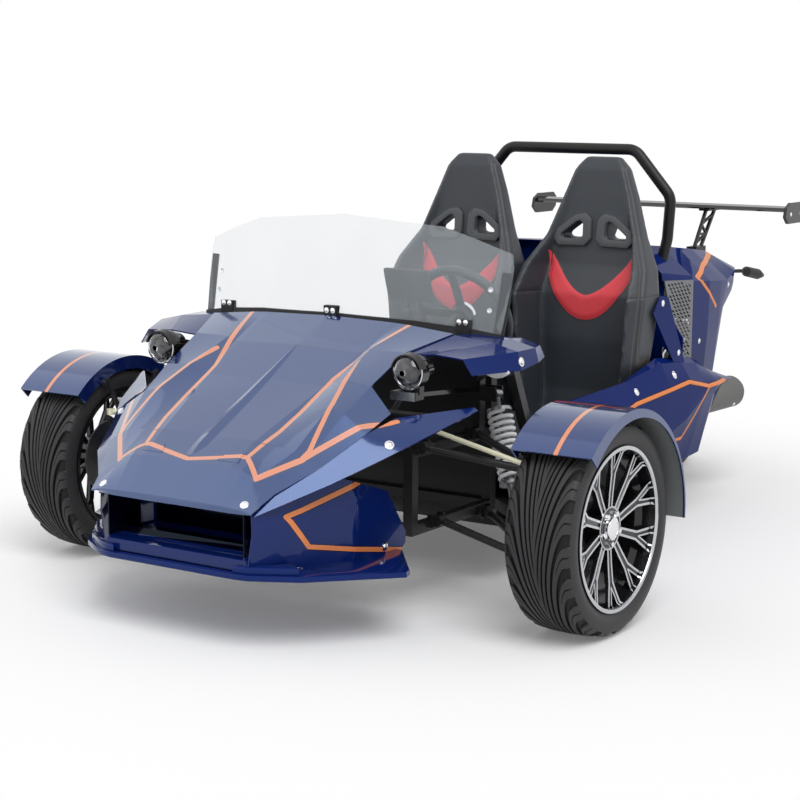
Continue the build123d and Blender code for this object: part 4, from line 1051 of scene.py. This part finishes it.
# %% Display
DISPLAY_AT, DISPLAY_LEAN = (0.133, 0.235, 0.886), (0, 0.95, 0.30)
CASE_HALF, CASE_ROUND = (0.079, 0.051, 0.0075), 0.005
GLASS_HALF, GLASS_ROUND, GLASS_THICK, GLASS_SUNK = (0.072, 0.044), 0.012, 0.002, 0.001
STALK = [(0.0, 0.0), (0.0, 0.0075), (0.050, 0.0075), (0.056, 0.014), (0.068, 0.014), (0.074, 0.0075),
         (0.155, 0.0075)]
STALK_FOOT, STALK_BACK, STALK_DROP = (0.118, 0.252, 0.745), 0.004, 0.020
tilt = Vector(DISPLAY_LEAN).normalized()
middle = car(*DISPLAY_AT)
upright = Matrix((Vector((-1, 0, 0)), tilt.cross(Vector((-1, 0, 0))), tilt)).transposed().to_4x4()
case = bmesh.new()
bmesh.ops.create_cube(case, size=2.0)
move(case, Matrix.Diagonal((*CASE_HALF, 1)))
round_off(case, case.edges[:], CASE_ROUND, 3)
move(case, Matrix.Translation(middle) @ upright)
glass = bmesh.new()
bmesh.ops.create_grid(glass, x_segments=1, y_segments=1, size=1.0)
move(glass, Matrix.Diagonal((*GLASS_HALF, 1, 1)))
round_off(glass, glass.verts[:], GLASS_ROUND, 6, "VERTICES")
thicken(glass, glass.faces[:], (0, 0, GLASS_THICK))
move(glass, Matrix.Translation(middle + tilt * (CASE_HALF[2] - GLASS_SUNK)) @ upright)
stalk = bmesh.new()
behind = middle - tilt * STALK_BACK - Vector((0, 0, STALK_DROP))
turn(stalk, STALK, 20, aimed(behind, car(*STALK_FOOT) - behind))
piece("display_stalk", stalk, "plastic_black", 40.0)
display_case = piece("display_case", case, "plastic_black", 40.0)
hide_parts("display")
piece("display_glass", glass, "screen_glass", 30.0)
print("display done")

# %% [markdown]
# The floor and the surround belong to the picture. Camera, mirror and clear rays see plain white,
# and other rays get a softer share of it. The floor lies at the lowest point of the solids and
# glows faintly, so it meets the surround with no edge.

# %% Floor and surround
FLOOR_REACH, FLOOR_WHITE, FLOOR_GLOW, SOFT_SHARE = 60.0, (0.88, 0.88, 0.885, 1), 0.12, 0.45


def seen_share(tree):
    """1 for the rays that show the surround itself: camera, mirror and clear rays."""
    rays = tree.nodes.new("ShaderNodeLightPath").outputs
    kinds = ("Is Camera Ray", "Is Glossy Ray", "Is Transmission Ray")
    camera_rays, mirror_rays, clear_rays = [Wire(tree, rays[kind]) for kind in kinds]
    return (camera_rays + mirror_rays + clear_rays).held()


bed = bmesh.new()
bmesh.ops.create_grid(bed, x_segments=1, y_segments=1, size=FLOOR_REACH)
bmesh.ops.translate(bed, verts=bed.verts, vec=(0, 0, cad_low.z))
floor_mesh = bpy.data.meshes.new("floor")
bed.to_mesh(floor_mesh)
bed.free()
floor = placed("floor", floor_mesh)
shader, place = blank("floor_white")
set_on(shader, Base_Color=FLOOR_WHITE, Roughness=0.9)
set_on(shader, Emission_Color=(1, 1, 1, 1), Emission_Strength=seen_share(place.tree) * FLOOR_GLOW)
floor_mesh.materials.append(finishes["floor_white"])
world = bpy.data.worlds.new("surround")
world.use_nodes = True
scene.world = world
backdrop = world.node_tree.nodes["Background"]
strength = seen_share(world.node_tree) * (1 - SOFT_SHARE) + SOFT_SHARE
world.node_tree.links.new(strength.socket, backdrop.inputs["Strength"])
backdrop.inputs["Color"].default_value = (1, 1, 1, 1)
print("floor at", round(cad_low.z, 4))

# %% [markdown]
# Two wide suns, one strong and one weak, light a floor of any size evenly, with soft shadows.

# %% Suns
# name, place it shines from, strength and angle in degrees
SUNS = [("key", (2.5, -2.0, 4.5), 1.75, 40), ("fill", (-4.0, -3.0, 3.0), 0.55, 90)]
for name, place_at, power, spread in SUNS:
    light = bpy.data.lights.new(name, "SUN")
    light.energy, light.angle = power, radians(spread)
    lamp = placed(name, light)
    lamp.location = place_at
    lamp.rotation_euler = Vector(place_at).to_track_quat("Z", "Y").to_euler()
print("suns", len(SUNS))

# %% [markdown]
# The camera stands where the photographer stood, ahead and to the left of the car and about 1.5 m
# up, and looks slightly down with a long lens.

# %% Camera
CAMERA_AT = (3.3283, -4.5954, 1.4821)
CAMERA_TURN, CAMERA_DIP, CAMERA_ROLL = radians(33.7245), radians(9.2358), radians(0.2661)
# focal length in photo pixels over the photo's width
LENS_SHARE = 1956.903 / 800
backward = Vector((sin(CAMERA_TURN) * cos(CAMERA_DIP), -cos(CAMERA_TURN) * cos(CAMERA_DIP), sin(CAMERA_DIP)))
rightward = Vector((cos(CAMERA_TURN), sin(CAMERA_TURN), 0))
upward = backward.cross(rightward)
camera_data = bpy.data.cameras.new("camera")
camera_data.sensor_width = 36.0
camera_data.lens = camera_data.sensor_width * LENS_SHARE
camera = placed("camera", camera_data)
turned = Matrix((rightward, upward, backward)).transposed() @ Matrix.Rotation(-CAMERA_ROLL, 3, "Z").transposed()
camera.matrix_world = Matrix.Translation(car(*CAMERA_AT)) @ turned.to_4x4()
scene.camera = camera
scene.view_settings.view_transform = "Standard"
print("camera at", [round(v, 3) for v in camera.matrix_world.translation])

# %% [markdown]
# Last, the view layer is brought up to date.

# %% Update the view layer
bpy.context.view_layer.update()
